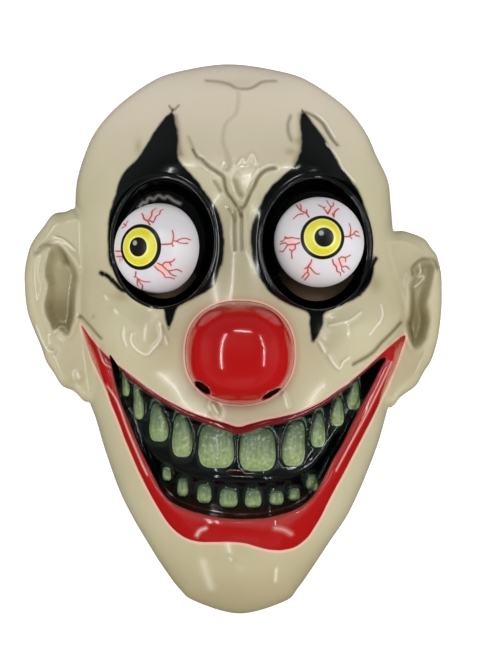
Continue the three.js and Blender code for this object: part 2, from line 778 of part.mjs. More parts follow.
const clownMask = new THREE.Group();
clownMask.name = 'clown_mask';
addPiece(clownMask, 'face_shell', geometryOf(makeFaceShell()), 0xbfba9c, 0.25);
Object.entries(eyes).forEach(([side, eye]) => {
  const dome = addPiece(clownMask, `eyeball_${side}`, domeGeometry(), 0xf2f0ee, 0.15);
  dome.position.set(...eye.dome);
  dome.quaternion.setFromUnitVectors(new THREE.Vector3(0, 0, 1), lookOf(eye));
  addPiece(clownMask, `eye_mount_${side}`, geometryOf(makeMount(eye)), 0x141211, 0.5);
});

export default clownMask;
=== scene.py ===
import math

import bpy
import numpy as np
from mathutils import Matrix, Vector, kdtree
from mathutils.geometry import delaunay_2d_cdt


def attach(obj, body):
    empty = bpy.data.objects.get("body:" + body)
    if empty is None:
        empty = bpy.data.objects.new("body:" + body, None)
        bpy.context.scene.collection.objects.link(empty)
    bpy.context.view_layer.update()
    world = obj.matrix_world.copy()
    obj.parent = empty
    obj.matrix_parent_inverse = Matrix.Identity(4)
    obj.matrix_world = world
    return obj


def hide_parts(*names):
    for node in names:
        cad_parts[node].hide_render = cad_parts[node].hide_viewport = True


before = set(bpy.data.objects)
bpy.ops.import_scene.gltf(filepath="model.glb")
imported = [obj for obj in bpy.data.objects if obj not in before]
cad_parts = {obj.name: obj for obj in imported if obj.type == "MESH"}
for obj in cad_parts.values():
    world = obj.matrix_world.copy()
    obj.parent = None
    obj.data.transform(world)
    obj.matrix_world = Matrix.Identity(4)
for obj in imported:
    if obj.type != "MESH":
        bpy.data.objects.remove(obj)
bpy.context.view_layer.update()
mm = 0.001
fullTurn = 2 * math.pi


# Lines and loops in the plane of the mask, in millimetres.

def catmull(points, closed, perSpan=14):
    points = np.array(points, float)
    if closed:
        padded = np.vstack([points[-1], points, points[0], points[1]])
    else:
        padded = np.vstack([2 * points[0] - points[1], points, 2 * points[-1] - points[-2]])
    t = np.linspace(0, 1, perSpan, endpoint=False)[:, None]
    spans = []
    for a, b, c, d in zip(padded, padded[1:], padded[2:], padded[3:]):
        spans.append(0.5 * (2 * b + (c - a) * t + (2 * a - 5 * b + 4 * c - d) * t**2
                            + (3 * b - a - 3 * c + d) * t**3))
    return np.vstack(spans + ([] if closed else [points[-1:]]))


def resample(line, step, closed=False):
    line = np.vstack([line, line[:1]]) if closed else line
    along = np.concatenate([[0], np.cumsum(np.hypot(*np.diff(line, axis=0).T))])
    count = max(2, int(round(along[-1] / step)))
    at = np.linspace(0, along[-1], count + 1)
    even = np.column_stack([np.interp(at, along, line[:, k]) for k in (0, 1)])
    return even[:-1] if closed else even


def sideways(line, closed):
    if closed:
        along = np.roll(line, -1, axis=0) - np.roll(line, 1, axis=0)
    else:
        along = np.gradient(line, axis=0)
    along /= np.maximum(np.hypot(*along.T), 1e-9)[:, None]
    return np.column_stack([along[:, 1], -along[:, 0]])


def segmentsOf(line, closed=False):
    return (line, np.roll(line, -1, axis=0)) if closed else (line[:-1], line[1:])


def distanceTo(points, line, closed=False):
    a, b = segmentsOf(np.asarray(line, float), closed)
    span = b - a
    size = np.maximum((span**2).sum(1), 1e-12)
    out = np.empty(len(points))
    for start in range(0, len(points), 4000):
        p = points[start:start + 4000, None]
        t = np.clip(((p - a) * span).sum(2) / size, 0, 1)
        out[start:start + 4000] = np.sqrt((((a + t[..., None] * span) - p)**2).sum(2).min(1))
    return out


def isInside(points, loop):
    a, b = segmentsOf(loop, True)
    out = np.empty(len(points), bool)
    for start in range(0, len(points), 4000):
        x, y = points[start:start + 4000, 0, None], points[start:start + 4000, 1, None]
        crosses = (a[:, 1] > y) != (b[:, 1] > y)
        with np.errstate(divide="ignore", invalid="ignore"):
            at = a[:, 0] + (y - a[:, 1]) * (b[:, 0] - a[:, 0]) / (b[:, 1] - a[:, 1])
        out[start:start + 4000] = (crosses & (x < at)).sum(1) % 2 == 1
    return out


def depthInside(points, loop):
    return np.where(isInside(points, loop), 1, -1) * distanceTo(points, loop, True)


def reachTable(loop, centre, steps=1440):
    angles = np.arange(steps) * fullTurn / steps
    ux, uy = np.cos(angles)[:, None], np.sin(angles)[:, None]
    a, b = segmentsOf(loop, True)
    ax, ay = (a - centre).T
    ex, ey = (b - a).T
    det = ux * ey - uy * ex
    with np.errstate(divide="ignore", invalid="ignore"):
        distance, share = (ax * ey - ay * ex) / det, (ax * uy - ay * ux) / det
    hit = (share >= 0) & (share <= 1) & np.isfinite(distance)
    return np.append(angles, fullTurn), np.append(*[np.where(hit, distance, 0).max(1)] * 2)[:steps + 1]


def shareOut(points, table, centre):
    offset = points - centre
    angle = np.arctan2(offset[:, 1], offset[:, 0]) % fullTurn
    reach = np.maximum(np.interp(angle, *table), 1e-6)
    return np.hypot(*offset.T) / reach, reach


def smoothStep(t):
    t = np.clip(t, 0, 1)
    return t * t * (3 - 2 * t)


def softMax(a, b, blend):
    h = np.clip(0.5 + (a - b) / (2 * blend), 0, 1)
    return b + (a - b) * h + blend * h * (1 - h)


def turning(degrees):
    c, d = math.cos(math.radians(degrees)), math.sin(math.radians(degrees))
    return np.array([[c, -d], [d, c]])


def bell(distance, width):
    return np.exp(-(distance / width)**2)


# What can be changed on the face shell: sizes in millimetres.
sizes = {
    "halfHead": 75, "halfHeight": 129.5, "halfWidth": 97.8,
    "sheet": 1.2, "trimHeight": 5, "faceDepth": 60, "faceCentre": (3, -8),
    "roundPower": 2.6, "roundness": 0.45, "fadePower": 7, "waviness": 0.16,
    "grid": 1.25, "edgeStep": 1.1, "wallStep": 1.25,
}

faceLeft = [(0.970, -0.367), (0.927, -0.543), (0.839, -0.744), (0.752, -0.870), (0.665, -0.939),
            (0.577, -0.983), (0.490, -0.995), (0.403, -0.989), (0.304, -0.983), (0.213, -0.989),
            (0.122, -0.989), (0.031, -0.970), (-0.078, -0.945), (-0.209, -0.914), (-0.296, -0.863),
            (-0.384, -0.819), (-0.471, -0.769), (-0.558, -0.713), (-0.646, -0.637), (-0.733, -0.549),
            (-0.820, -0.455), (-0.908, -0.342), (-0.955, -0.240)]
faceRight = [(0.970, 0.324), (0.927, 0.507), (0.839, 0.714), (0.752, 0.833), (0.665, 0.902),
             (0.577, 0.972), (0.490, 0.990), (0.403, 1.003), (0.304, 1.022), (0.213, 1.072),
             (0.122, 1.110), (0.031, 1.091), (-0.078, 1.053), (-0.209, 0.990), (-0.296, 0.953),
             (-0.384, 0.909), (-0.471, 0.852), (-0.558, 0.789), (-0.646, 0.714), (-0.733, 0.613),
             (-0.820, 0.513), (-0.908, 0.406), (-0.955, 0.323)]

# Soft swellings: across, up, wide, tall as shares of the head, rise as a share of its depth.
swells = [
    (0.04, -0.480, 0.56, 0.232, 0.165), (0.03, -0.840, 0.36, 0.160, 0.260),
    (-0.68, 0.030, 0.32, 0.154, 0.130), (0.80, 0.030, 0.32, 0.154, 0.130),
    (-0.52, 0.004, 0.14, 0.080, 0.050), (0.68, 0.016, 0.14, 0.080, 0.050),
    (-0.44, 0.606, 0.35, 0.110, 0.065), (0.52, 0.606, 0.35, 0.110, 0.065),
    (0.04, 0.309, 0.13, 0.232, 0.080),
    (-0.82, 0.540, 0.25, 0.250, -0.050), (0.88, 0.540, 0.25, 0.250, -0.050),
]

faceLoop = catmull(
    [(-0.03 * sizes["halfHead"], sizes["halfHeight"])]
    + [(out * sizes["halfHead"], up * sizes["halfHeight"]) for up, out in faceLeft]
    + [(0.04 * sizes["halfHead"], -sizes["halfHeight"])]
    + [(out * sizes["halfHead"], up * sizes["halfHeight"]) for up, out in reversed(faceRight)], True)
faceCentre = np.array(sizes["faceCentre"])
faceReach = reachTable(faceLoop, faceCentre)

# Ears: outer edge from lobe to top as shares of the half height and half width.
ears = {
    "left": {
        "way": -1,
        "edge": [(-0.20, 0.600), (-0.23, 0.700), (-0.19, 0.764), (-0.17, 0.821), (-0.12, 0.865),
                 (-0.08, 0.899), (-0.03, 0.922), (0.05, 0.966), (0.11, 0.990), (0.18, 1.000),
                 (0.25, 1.000), (0.32, 0.981), (0.36, 0.956), (0.40, 0.917), (0.45, 0.865),
                 (0.46, 0.807), (0.47, 0.739), (0.40, 0.640), (0.10, 0.600)],
    },
    "right": {
        "way": 1,
        "edge": [(-0.20, 0.620), (-0.25, 0.745), (-0.21, 0.803), (-0.17, 0.875), (-0.12, 0.914),
                 (-0.08, 0.948), (-0.03, 0.971), (0.02, 0.986), (0.10, 0.998), (0.18, 1.000),
                 (0.24, 0.996), (0.30, 0.976), (0.33, 0.948), (0.36, 0.918), (0.38, 0.861),
                 (0.39, 0.790), (0.36, 0.680), (0.10, 0.640)],
    },
}
earShape = {"depth": 26, "trim": 13, "centreOut": 0.78, "centreUp": 0.13, "round": 6.5, "hollow": 8.5,
            "bank": 4.2, "brim": 0.8}
# The hollow of each ear, anticlockwise from the top of its outer bank.
earHollows = {
    "left": [(-85.2, 41.7), (-86.6, 37.4), (-87.5, 34.1), (-87.5, 29.3), (-86.3, 25.5), (-86.8, 21.8),
             (-87.8, 17.4), (-87.8, 14.1), (-86.8, 10.3), (-85.2, 7.0), (-83.9, 4.1), (-80.9, 4.1),
             (-77.0, 1.3), (-74.2, 6.4), (-73.2, 10.6), (-72.6, 19.9), (-72.0, 24.6), (-71.4, 30.0),
             (-73.7, 35.8), (-77.9, 40.9), (-82.1, 43.0)],
    "right": [(83.0, 29.7), (83.4, 33.9), (86.7, 36.5), (90.4, 37.0), (93.2, 35.3), (93.6, 32.1),
              (92.7, 27.4), (91.3, 21.8), (89.9, 16.7), (91.1, 11.5), (91.3, 7.3), (90.2, 3.1),
              (88.8, -1.1), (84.3, -4.8), (81.5, -0.6), (79.7, 6.9), (80.8, 10.6), (81.4, 15.3),
              (81.4, 20.6), (81.1, 25.3)],
}
for side, ear in ears.items():
    ear["hollow"] = catmull(earHollows[side], True, 5)
    ear["loop"] = catmull([(ear["way"] * out * sizes["halfWidth"], up * sizes["halfHeight"])
                           for up, out in ear["edge"]], True)
    ear["centre"] = np.array([ear["way"] * earShape["centreOut"] * sizes["halfWidth"],
                              earShape["centreUp"] * sizes["halfHeight"]])
    ear["reach"] = reachTable(ear["loop"], ear["centre"])

nose = {"centre": np.array([3.2, -6.0]), "reach": (24.2, 22.9), "side": 68, "ball": 26,
        "square": 2.25, "edgeWidth": 0.022, "fillet": 1.6}
nostrils = [{"at": (-13.6, -21.4), "size": (4.0, 1.7), "turn": -34.5},
            {"at": (17.4, -24.2), "size": (4.6, 1.1), "turn": 29}]


eyes = {
    "left": {"socket": np.array([-32.2, 43.9]), "oval": np.array([23.7, 29.1]),
             "dome": (-33.3, 41.1, 53), "turn": -27, "lift": 2},
    "right": {"socket": np.array([38.3, 43.4]), "oval": np.array([25.1, 29.8]),
              "dome": (39, 43.9, 53.5), "turn": 4.4, "lift": 5.6},
}
socketShape = {"ridge": 1.1, "ridgeOut": 0.5, "ridgeWide": 0.9,
               "wall": [(-4.2, 38), (-3.1, 39), (-1.0, 48)], "slotTop": 29.6, "slotInset": (4.4, 3.8)}

lipOuter = {
    "upper": [(-70.4, 6.4), (-63.7, -1.4), (-56.2, -8.7), (-49, -14.1), (-42, -19.4), (-35.1, -24.3),
              (-28.2, -28.3), (-19.2, -32.7), (-10.1, -35.7), (-3.4, -37.5), (2.4, -39.2), (7.8, -37.9),
              (14.5, -36.2), (21.3, -34.9), (30.3, -32.7), (39.4, -28.7), (46.2, -24.3), (53.1, -19.4),
              (60.1, -13.6), (67.2, -7.3), (73.2, -2.3), (80, 1.7)],
    "lower": [(-68.4, -0.6), (-64.9, -9.8), (-61.5, -16.7), (-58.1, -23.6), (-55.7, -30.4),
              (-52.8, -37.2), (-49.9, -44.9), (-46.5, -52.9), (-43.6, -59.5), (-40.3, -66.2),
              (-37.5, -71.5), (-34.2, -77.2), (-30.6, -82.9), (-26, -87.8), (-20.6, -90.9),
              (-14.7, -91.9), (-8, -91.7), (-1.2, -91.5), (5.5, -92.1), (11.4, -93.9), (16.8, -95.4),
              (22.7, -95.9), (28.5, -95), (33.9, -91.4), (37.1, -86.9), (40.3, -81.6), (44, -74),
              (47.7, -67), (51.9, -59.5), (56.6, -50.6), (61.4, -41.7), (66.2, -32.6), (71, -22.6),
              (74.9, -14.4), (77.9, -6.1)],
}
lipInner = {
    "upper": [(-55.8, -7.4), (-49, -16.8), (-42, -22.1), (-35.1, -27), (-28.2, -31), (-19.2, -35.4),
              (-10.2, -38.9), (-3.4, -41.1), (2.4, -42.9), (7.8, -41.6), (14.5, -39.4), (21.3, -38.1),
              (30.3, -35.4), (39.4, -31), (46.2, -26.6), (53.1, -21.2), (60.1, -15.4), (66.4, -10.1),
              (69.8, -8.8)],
    "lower": [(-54.9, -12.6), (-53.2, -21), (-50.5, -30), (-46.7, -39), (-42, -50.2), (-37.4, -59.2),
              (-32.8, -68.1), (-27.4, -73.8), (-19.2, -77.3), (-7.9, -79.9), (3.3, -80.8),
              (14.5, -80.4), (23.5, -78.6), (30.3, -76), (35.7, -71.6), (40.3, -64.5), (44.9, -55.6),
              (49.5, -48), (54.1, -39), (58.8, -30), (63.6, -21), (67.4, -13.3)],
}
mouth = {"lipRise": 2.8, "pocket": 6.0, "wall": 1.5, "steepest": 2.2, "crest": 0.45, "lowCrest": 0.79,
         "upperTooth": 4.7, "lowerTooth": 3.8, "toothPower": 3.4, "toothNarrow": 0.62,
         "ridge": 3.0, "ridgeWide": 2.8}
lipLoop = catmull(lipOuter["lower"] + lipOuter["upper"][::-1], True, 6)
pocketLoop = catmull(lipInner["lower"] + lipInner["upper"][::-1], True, 6)
rowRidge = catmull([(-49, -33), (-45, -42), (-38, -51), (-31, -56), (-22, -60.3), (-13, -61.6),
                    (-3, -62.4), (9, -62.9), (19, -62.7), (28, -61.2), (36, -57), (43, -48),
                    (50, -38), (56, -30)], False, 6)

# Teeth: centre, width, height, how far the top narrows to a point and how far it leans.
upperTeeth = [
    (-49.1, -20.6, 3.8, 11.6, 0.8, -1.1), (-43.1, -28.4, 5.0, 17.0, 0.8, -1.3),
    (-33.7, -38.0, 9.1, 17.4, 0.75, -1.2), (-22.9, -43.8, 9.4, 19.4, 0.55, -0.6),
    (-7.4, -48.1, 16.4, 20.0, 0.15, 0), (11.2, -49.7, 16.5, 19.6, 0.1, 0),
    (27.4, -47.4, 10.8, 20.3, 0.4, 1.8), (38.7, -41.4, 6.9, 15.7, 0.7, 0.4),
    (47.7, -33.1, 6.2, 13.2, 0.8, 0.5), (55.3, -25.8, 6.2, 13.2, 0.8, 1.0),
]
lowerTeeth = [
    (-30.2, -61.3, 4.2, 6.5, 0.2, 0), (-22.8, -67.4, 5.1, 8.5, 0.2, 0), (-12.9, -69.8, 6.6, 8.8, 0.2, 0),
    (-1.9, -71.6, 8.3, 9.0, 0.2, 0), (9.2, -71.8, 7.6, 8.7, 0.2, 0), (19.8, -71.8, 6.6, 6.7, 0.2, 0),
    (28.0, -70.6, 5.4, 6.0, 0.2, 0), (36.0, -65.3, 5.1, 7.5, 0.2, 0),
]

# Black paint round each eye: level, left edge, right edge.
eyePaint = {
    "left": [(105.8, -27.9, -27.4), (103.9, -28.6, -27.6), (102.1, -30.9, -26.9), (98.4, -33.8, -26.3),
             (95.2, -35.9, -25.4), (89.7, -39.2, -24.9), (83.7, -42.6, -25.1), (80.0, -46.1, -23.5),
             (76.3, -49.7, -20.3), (71.7, -52.1, -16.1), (66.2, -53.7, -12.2), (60.7, -55.5, -8.3),
             (54.2, -57.1, -5.5), (44.8, -57.2, -3.9), (35.8, -56.8, -4.4), (31.6, -54.5, -5.8),
             (27.6, -51.7, -7.0), (23.5, -46.9, -9.0), (19.9, -41.2, -14.6), (15.8, -34.8, -22.7),
             (13.8, -31.1, -25.1), (9.3, -30.5, -26.7), (4.6, -29.0, -28.5)],
    "right": [(104.9, 31.7, 32.2), (99, 30.8, 37.1), (92.2, 31.3, 41.7), (85.4, 30.8, 45.7),
              (78.7, 27.7, 49.3), (74.1, 22.7, 53), (67.4, 15.9, 57.9), (56.1, 10.5, 62),
              (47.1, 8.2, 63.8), (38, 8.7, 64.2), (31.3, 10.5, 64.6), (25.4, 13.7, 62.6),
              (19.5, 18.6, 57.6), (15, 26.8, 48.4), (11.8, 34, 41.7), (6.4, 34.6, 40.6),
              (1.2, 35.2, 38.2), (-1.2, 35.6, 36.8)],
}
paintLoops = {side: catmull([(a, y) for y, a, b in rows] + [(b, y) for y, a, b in rows[::-1]], True, 6)
              for side, rows in eyePaint.items()}

# Soft black strokes beside the eyes.
lashes = [([(-60.5, 30.2), (-57.5, 28.9), (-54.0, 25.8), (-50.5, 22.5), (-47.0, 22.0)], 1.0),
          ([(62.6, 32.0), (64.3, 34.6), (65.8, 37.0)], 0.9)]

# Pressed lines: points, depth, width and how dark the paint in them is. Where the depth is
# below 0 they're raised and the last number is how strong the painted highlight along their crest is.
creases = {
    "crownLine": ([(-12.6, 119.7), (-7.1, 119.2), (-1.9, 117.8), (1.3, 115.9), (6, 115.5), (9.4, 116.4),
                   (11.8, 118.3), (14.1, 119.4), (19.7, 119.9)], 0.7, 0.8, 0.5),
    "crownVein": ([(2.3, 114), (2.3, 108), (0.9, 102.9), (-2.8, 99.7), (-4.2, 95), (-4.6, 90.4),
                   (-2.8, 84.9), (-1.9, 80.3), (-2.8, 77.5)], 0.5, 1.0, 0.15),
    "browLeft": ([(-18.3, 86.3), (-16.1, 82.6), (-14.2, 81.7), (-11, 78.5), (-6.9, 75.7), (-4.1, 73.4),
                  (-3.4, 69.3), (-2.3, 66.1), (0, 62.9), (2.3, 59.2), (3.7, 55.5)], 1.0, 0.7, 0.75),
    "browSecond": ([(-1.8, 59.1), (0.1, 55.9), (1, 53.7)], 0.7, 0.7, 0.45),
    "browRight": ([(19.1, 77.6), (16.3, 77.1), (13.6, 75.7), (11.3, 73), (9.9, 69.7), (8, 66.5),
                   (6.6, 62.9), (4.8, 59.6), (3.4, 59.2)], 1.0, 0.7, 0.75),
    "browSmall": ([(-8.3, 71.6), (-5.5, 67.4)], 0.6, 0.7, 0.4),
    "browInner": ([(1.1, 72), (2.5, 67.9), (3.9, 65.2)], 0.7, 0.8, 0.45),
    "browFaint": ([(-20.2, 92), (-17.9, 86.4)], 0.5, 0.9, 0.3),
    "spikeFold": ([(33.4, 104.3), (37.2, 102.5), (40.9, 99.2), (43.1, 95.5), (45, 92.3), (47.8, 89)],
                  1.0, 0.8, 0.75),
    "spikeFoldEdge": ([(38.5, 103.5), (42.4, 100.2), (44.7, 96.3), (46.8, 92.6)], -0.6, 0.8, 0.6),
    "temple": ([(26.3, 102.3), (25.1, 98.6), (25.3, 94.4), (26.5, 90.7)], 0.6, 0.9, 0.45),
    "patchLine": ([(42.7, 89.5), (47.8, 83.5), (50.1, 78.4), (55.7, 72.4)], -0.6, 0.8, 0.6),
    "bridgeLeft": ([(1.1, 58.1), (0.8, 49.1), (1.1, 40.1)], 0.9, 0.7, 0.5),
    "bridgeRight": ([(4, 58.5), (4, 49.1), (4.2, 40.1)], 0.9, 0.7, 0.5),
    "smileRight": ([(54.8, -11.4), (63.1, -6.6), (68.1, -1.4), (73.6, 3.7), (77.6, 7.6)], 1.2, 0.9, 0.85),
    "smileLeft": ([(-71, 10.6), (-67.5, 7.9), (-60.4, 0.5)], 1.0, 0.8, 0.75),
    "underLeft": ([(-45.4, 2.4), (-45.9, -0.6), (-43.9, -4.1), (-39, -7), (-36, -4.5), (-33, -1.1),
                   (-32, 1.9), (-32.5, 5.9)], -0.7, 0.9, 0.6),
    "underLeftOuter": ([(-49, 5.3), (-49.6, 1.8), (-48.2, -2.6)], -0.5, 0.8, 0.6),
    "cheekSpeck": ([(-58.2, 19.4), (-57.5, 18.4)], -0.4, 1.2, 0.5),
    "cheekSpeckLow": ([(-53.4, 13.1), (-52.6, 12.2)], -0.4, 1.3, 0.6),
    "noseSide": ([(-30.4, 1.2), (-29.8, -1.3)], -0.5, 0.8, 0.6),
    "underRight": ([(43.8, 6.2), (48.5, 7.3), (53.2, 8.7), (57.8, 12)], -0.6, 0.8, 0.6),
    "cheekRightTop": ([(38.9, -1.2), (41.3, -5.6)], -0.6, 0.8, 0.6),
    "cheekRight": ([(43.5, -7.6), (45.3, -10.6), (48.2, -13.4), (49.8, -10.6), (52.3, -8.6)],
                   -0.7, 0.9, 0.6),
    "cheekRightFar": ([(62.4, 2.3), (67, 8.1)], -0.4, 0.8, 0.6),
    "cheekStroke": ([(67.8, 14.9), (68.3, 11.3), (66.9, 7.2)], -0.5, 0.8, 0.6),
    "underNoseLeft": ([(-8.8, -29.2), (-6.8, -33)], -0.6, 0.9, 0.6),
    "underNoseRight": ([(22.9, -24.9), (24.4, -29.8)], -0.6, 0.9, 0.6),
    "chinFold": ([(-10.4, -98.4), (1, -98.6), (10.5, -101.4), (16, -102.3)], 0.35, 0.9, 0),
    "spikeMark": ([(-29.3, 107.2), (-27.5, 104.9), (-25.2, 107.2)], 0.3, 0.5, 0.8),
    "browSpark": ([(2.4, 79.3), (4.5, 82), (6, 80), (8.7, 84.3), (10.5, 80.7)], -0.4, 0.8, 0.5),
    "lipLeft": ([(-57.3, -21.6), (-52.7, -28.6), (-48.2, -40.8), (-45.1, -48.1), (-42, -55.3),
                 (-39, -61.5)], -0.4, 0.8, 0.45),
    "lipRight": ([(72.8, -10.5), (68, -21), (61.5, -33.8), (54, -47), (47.1, -59.4)], -0.4, 0.8, 0.4),
    "lipLowLeft": ([(-16.3, -88.8), (-14.8, -86.4), (-12.2, -85.1)], -0.4, 1.6, 0.5),
    "lipLowRight": ([(19.2, -85.1), (23, -86), (26.5, -88.3)], -0.3, 2.0, 0.3),
    "chinStreak": ([(-13.4, -101.1), (-12, -107), (-10, -113.5)], -0.4, 4.0, 0.3),
    "chinSpot": ([(19.8, -104.6), (19.4, -110.6)], -0.5, 1.5, 0.5),
    # A painted reflection on the black inside the left socket; the socket wall flattens the raise here.
    "socketHighlight": ([(-42.9, 60.8), (-41.3, 62.8), (-40, 62.6), (-38.6, 64.9), (-36.5, 64.2), (-34.2, 66),
                       (-31.6, 64.6), (-30.2, 65.6), (-27, 63.4), (-24.5, 62.3)], -0.3, 1.3, 0.42),
    "lipCorner": ([(-62.4, -1.8), (-60.5, -6.7), (-58.7, -10.8), (-55.9, -12.8)], -0.4, 0.7, 0.4),
    "spikeLeftEdge": ([(-26.6, 102), (-25.4, 95), (-24.8, 89), (-24, 84)], 0.1, 1.4, 0.6),
    "spikeRightEdge": ([(31.0, 103), (31.2, 95), (31.0, 87), (28.2, 80)], 0.1, 1.4, 0.5),
    "earLeftRidge": ([(-85.2, 41.7), (-86.6, 37.4), (-87.5, 33), (-87.5, 29.3), (-86.3, 25.5),
                      (-86.8, 21.8), (-87.8, 17.4), (-87.8, 14.1), (-86.8, 10.3), (-85.2, 7),
                      (-83.9, 4.1), (-80.9, 4.1), (-77, 1.3)], -0.3, 0.9, 0.45),
    "earLeftTop": ([(-91.4, 40.4), (-87.7, 43.4), (-82.5, 43.7), (-79.3, 40.4), (-77.9, 35.8)],
                   0.9, 1.2, 0.5),
    "earLeftFold": ([(-82.2, 47), (-79.4, 46.2), (-76.2, 43.7), (-73.8, 41.4)], -0.6, 0.8, 0.6),
    "earLeftLow": ([(-91.5, 5.5), (-88.9, -1), (-86.1, -5.3), (-83.8, -6)], -0.7, 0.9, 0.6),
    "earLeftCurl": ([(-81.4, 4.1), (-80.7, 5.5), (-78.8, 5.5), (-77.9, 3.6)], -0.9, 0.8, 0.6),
    "earLobe": ([(-72.2, -16), (-71.6, -17.6)], -0.8, 1.3, 0.6),
    "earRightTop": ([(83.4, 29.9), (83, 32.7), (85.9, 35.9), (89.2, 37.3), (93.3, 36.4), (95, 33.1)],
                    0.9, 1.1, 0.7),
    "earRightSpark": ([(86.8, 34.5), (87.6, 31.7), (86.2, 28.9), (89, 29.4), (88.1, 27.1), (84.8, 24.3)],
                      -1.1, 0.9, 0.6),
}


# Dark and olive shading sprayed on the skin: place, width, height, strength.
olivePatches = [
    ((84, 30), 6, 6, 0.35), ((90, -12), 9, 12, 0.25), ((-43.3, 88), 1.8, 4, 0.5),
    ((29.8, 90.3), 2.2, 2.0, 0.5), ((26.1, 85.2), 2.4, 1.8, 0.55), ((-16.4, 78), 2.4, 1.6, 0.4),
    ((-23.3, 83.5), 2.0, 2.0, 0.2),
    ((-78, -31), 6, 3, 0.4), ((-74, -19.8), 4, 1.6, 0.5), ((2, 66), 6, 12, 0.25),
    ((-50.5, 19.5), 4.5, 2.6, 0.6), ((65, 25.5), 3.5, 4.5, 0.6), ((-64, 10.2), 0.9, 0.9, 0.9),
    ((2.5, 118), 13, 2.6, 0.25),
]


def faceHeight(points):
    across, up = (points / (sizes["halfHead"], sizes["halfHeight"])).T
    share, _ = shareOut(points, faceReach, faceCentre)
    share = np.minimum(share, 1)
    swell = sum(rise * sizes["faceDepth"] * np.exp(-((across - x) / wide)**2 - ((up - y) / tall)**2)
                for x, y, wide, tall, rise in swells)
    rounding = np.maximum(0, 1 - share**sizes["roundPower"])**sizes["roundness"]
    fade = np.sqrt(np.maximum(0, 1 - share**sizes["fadePower"]))
    return sizes["trimHeight"] + (sizes["faceDepth"] - sizes["trimHeight"]) * rounding + swell * fade


def slantOf(points, step=1.2):
    slope = [(faceHeight(points + way) - faceHeight(points - way)) / (2 * step)
             for way in (np.array([step, 0]), np.array([0, step]))]
    return np.minimum(mouth["steepest"], np.hypot(1, np.hypot(*slope)))


def toothShare(points, tooth):
    cx, cy, wide, tall, point, lean = tooth
    up = (points[:, 1] - cy) / (tall / 2)
    across = (points[:, 0] - cx - lean * np.clip(up, 0, 1.2)) / (wide / 2)
    narrow = 1 - mouth["toothNarrow"] * point * np.clip((up + 0.35) / 1.35, 0, 1)**1.2
    power = mouth["toothPower"]
    return (np.abs(across / narrow)**power + np.abs(up)**power)**(1 / power), up


def addCreases(points, z):
    crease, glint = np.zeros(len(points)), np.zeros(len(points))
    for line, deep, wide, paint in creases.values():
        away = distanceTo(points, catmull(line, False, 5))
        z = z - deep * bell(away, wide) + 0.3 * deep * bell(away - 2.3 * wide, wide)
        if deep > 0:
            crease = np.maximum(crease, paint * bell(away, wide))
        else:
            # Raised lines get a painted highlight along their crest.
            glint = np.maximum(glint, paint * bell(away, wide * 0.45))
    return z, {"crease": crease, "glint": glint}


def addEars(points, z, face):
    olive = np.zeros(len(points))
    for ear in ears.values():
        out, reach = shareOut(points, ear["reach"], ear["centre"])
        edgeShare = np.clip((1 - out) * reach / earShape["round"], 0, 1)
        height = (earShape["trim"]
                  + (earShape["depth"] - earShape["trim"]) * np.sqrt(edgeShare * (2 - edgeShare)))
        inHollow = depthInside(points, ear["hollow"])
        height = height - earShape["hollow"] * smoothStep((inHollow + 0.4) / earShape["bank"])
        height = height + earShape["brim"] * bell(inHollow + 0.8, 1.1) * (edgeShare > 0.4) + z - face
        z = np.where(out <= 1.0001, softMax(z, height, 1.0), z)
        darker = 0.45 + 0.5 * smoothStep((25 - points[:, 1]) / 14)
        olive = np.maximum(olive, smoothStep((inHollow + 0.5) / 4) * darker)
    return z, olive


def addLips(points, z, slant, inPocket):
    inLips = depthInside(points, lipLoop)
    band = np.clip(inLips, 0, None) + np.clip(-inPocket, 0, None)
    across = np.clip(inLips, 0, None) / np.maximum(band, 0.05)
    low = smoothStep((-60 - points[:, 1]) / 12)
    crest = mouth["crest"] + (mouth["lowCrest"] - mouth["crest"]) * low
    v = np.where(across < crest, across / (2 * crest), 0.5 + (across - crest) / (2 - 2 * crest))
    roll = np.power(np.clip(4 * v * (1 - v), 0, 1), 0.75)
    rise = mouth["lipRise"] * slant * np.clip(band / 7, 0.35, 1)
    z = np.where((inLips > -1) & (inPocket < 0), z + rise * roll, z)
    return z, {"lips": inLips, "lipAcross": across, "pocket": inPocket}


def addTeeth(points, z, gumLevel):
    inTooth, toothUp = np.full(len(points), -9.0), np.zeros(len(points))
    for row, height in ((upperTeeth, mouth["upperTooth"]), (lowerTeeth, mouth["lowerTooth"])):
        for tooth in row:
            share, up = toothShare(points, tooth)
            top = gumLevel + height * np.sqrt(np.clip(1 - share**4, 0, 1))
            z = np.where(share < 1, np.maximum(z, top), z)
            inside = (1 - share) * min(tooth[2], tooth[3]) / 2
            toothUp = np.where(inside > inTooth, up, toothUp)
            inTooth = np.maximum(inTooth, inside)
    return z, {"tooth": inTooth, "toothUp": toothUp}


# Lips, the pocket behind them with its ridge between the rows, and the teeth.
def addMouth(points, z, face):
    slant = slantOf(points)
    inPocket = depthInside(points, pocketLoop)
    z, lipMarks = addLips(points, z, slant, inPocket)
    gumLevel = face - mouth["pocket"] * slant
    down = smoothStep(inPocket / mouth["wall"])
    z = np.where(inPocket > 0, z + (gumLevel - z) * down, z)
    ridge = bell(distanceTo(points, rowRidge), mouth["ridgeWide"])
    z = np.where(inPocket > 0, z + mouth["ridge"] * ridge * down, z)
    z, toothMarks = addTeeth(points, z, gumLevel)
    return z, {**lipMarks, **toothMarks}


def addSockets(points, z):
    inSocket = np.full(len(points), -9.0)
    for eye in eyes.values():
        share = np.hypot(*((points - eye["socket"]) / eye["oval"]).T)
        out = (share - 1) * eye["oval"].mean()
        z = z + socketShape["ridge"] * bell(out - socketShape["ridgeOut"], socketShape["ridgeWide"])
        wall = np.interp(out, *zip(*(socketShape["wall"] + [(0.2, 68)])))
        z = np.where(out < 0.2, np.minimum(z, wall), z)
        inSocket = np.maximum(inSocket, -out)
    return z, {"socket": inSocket}


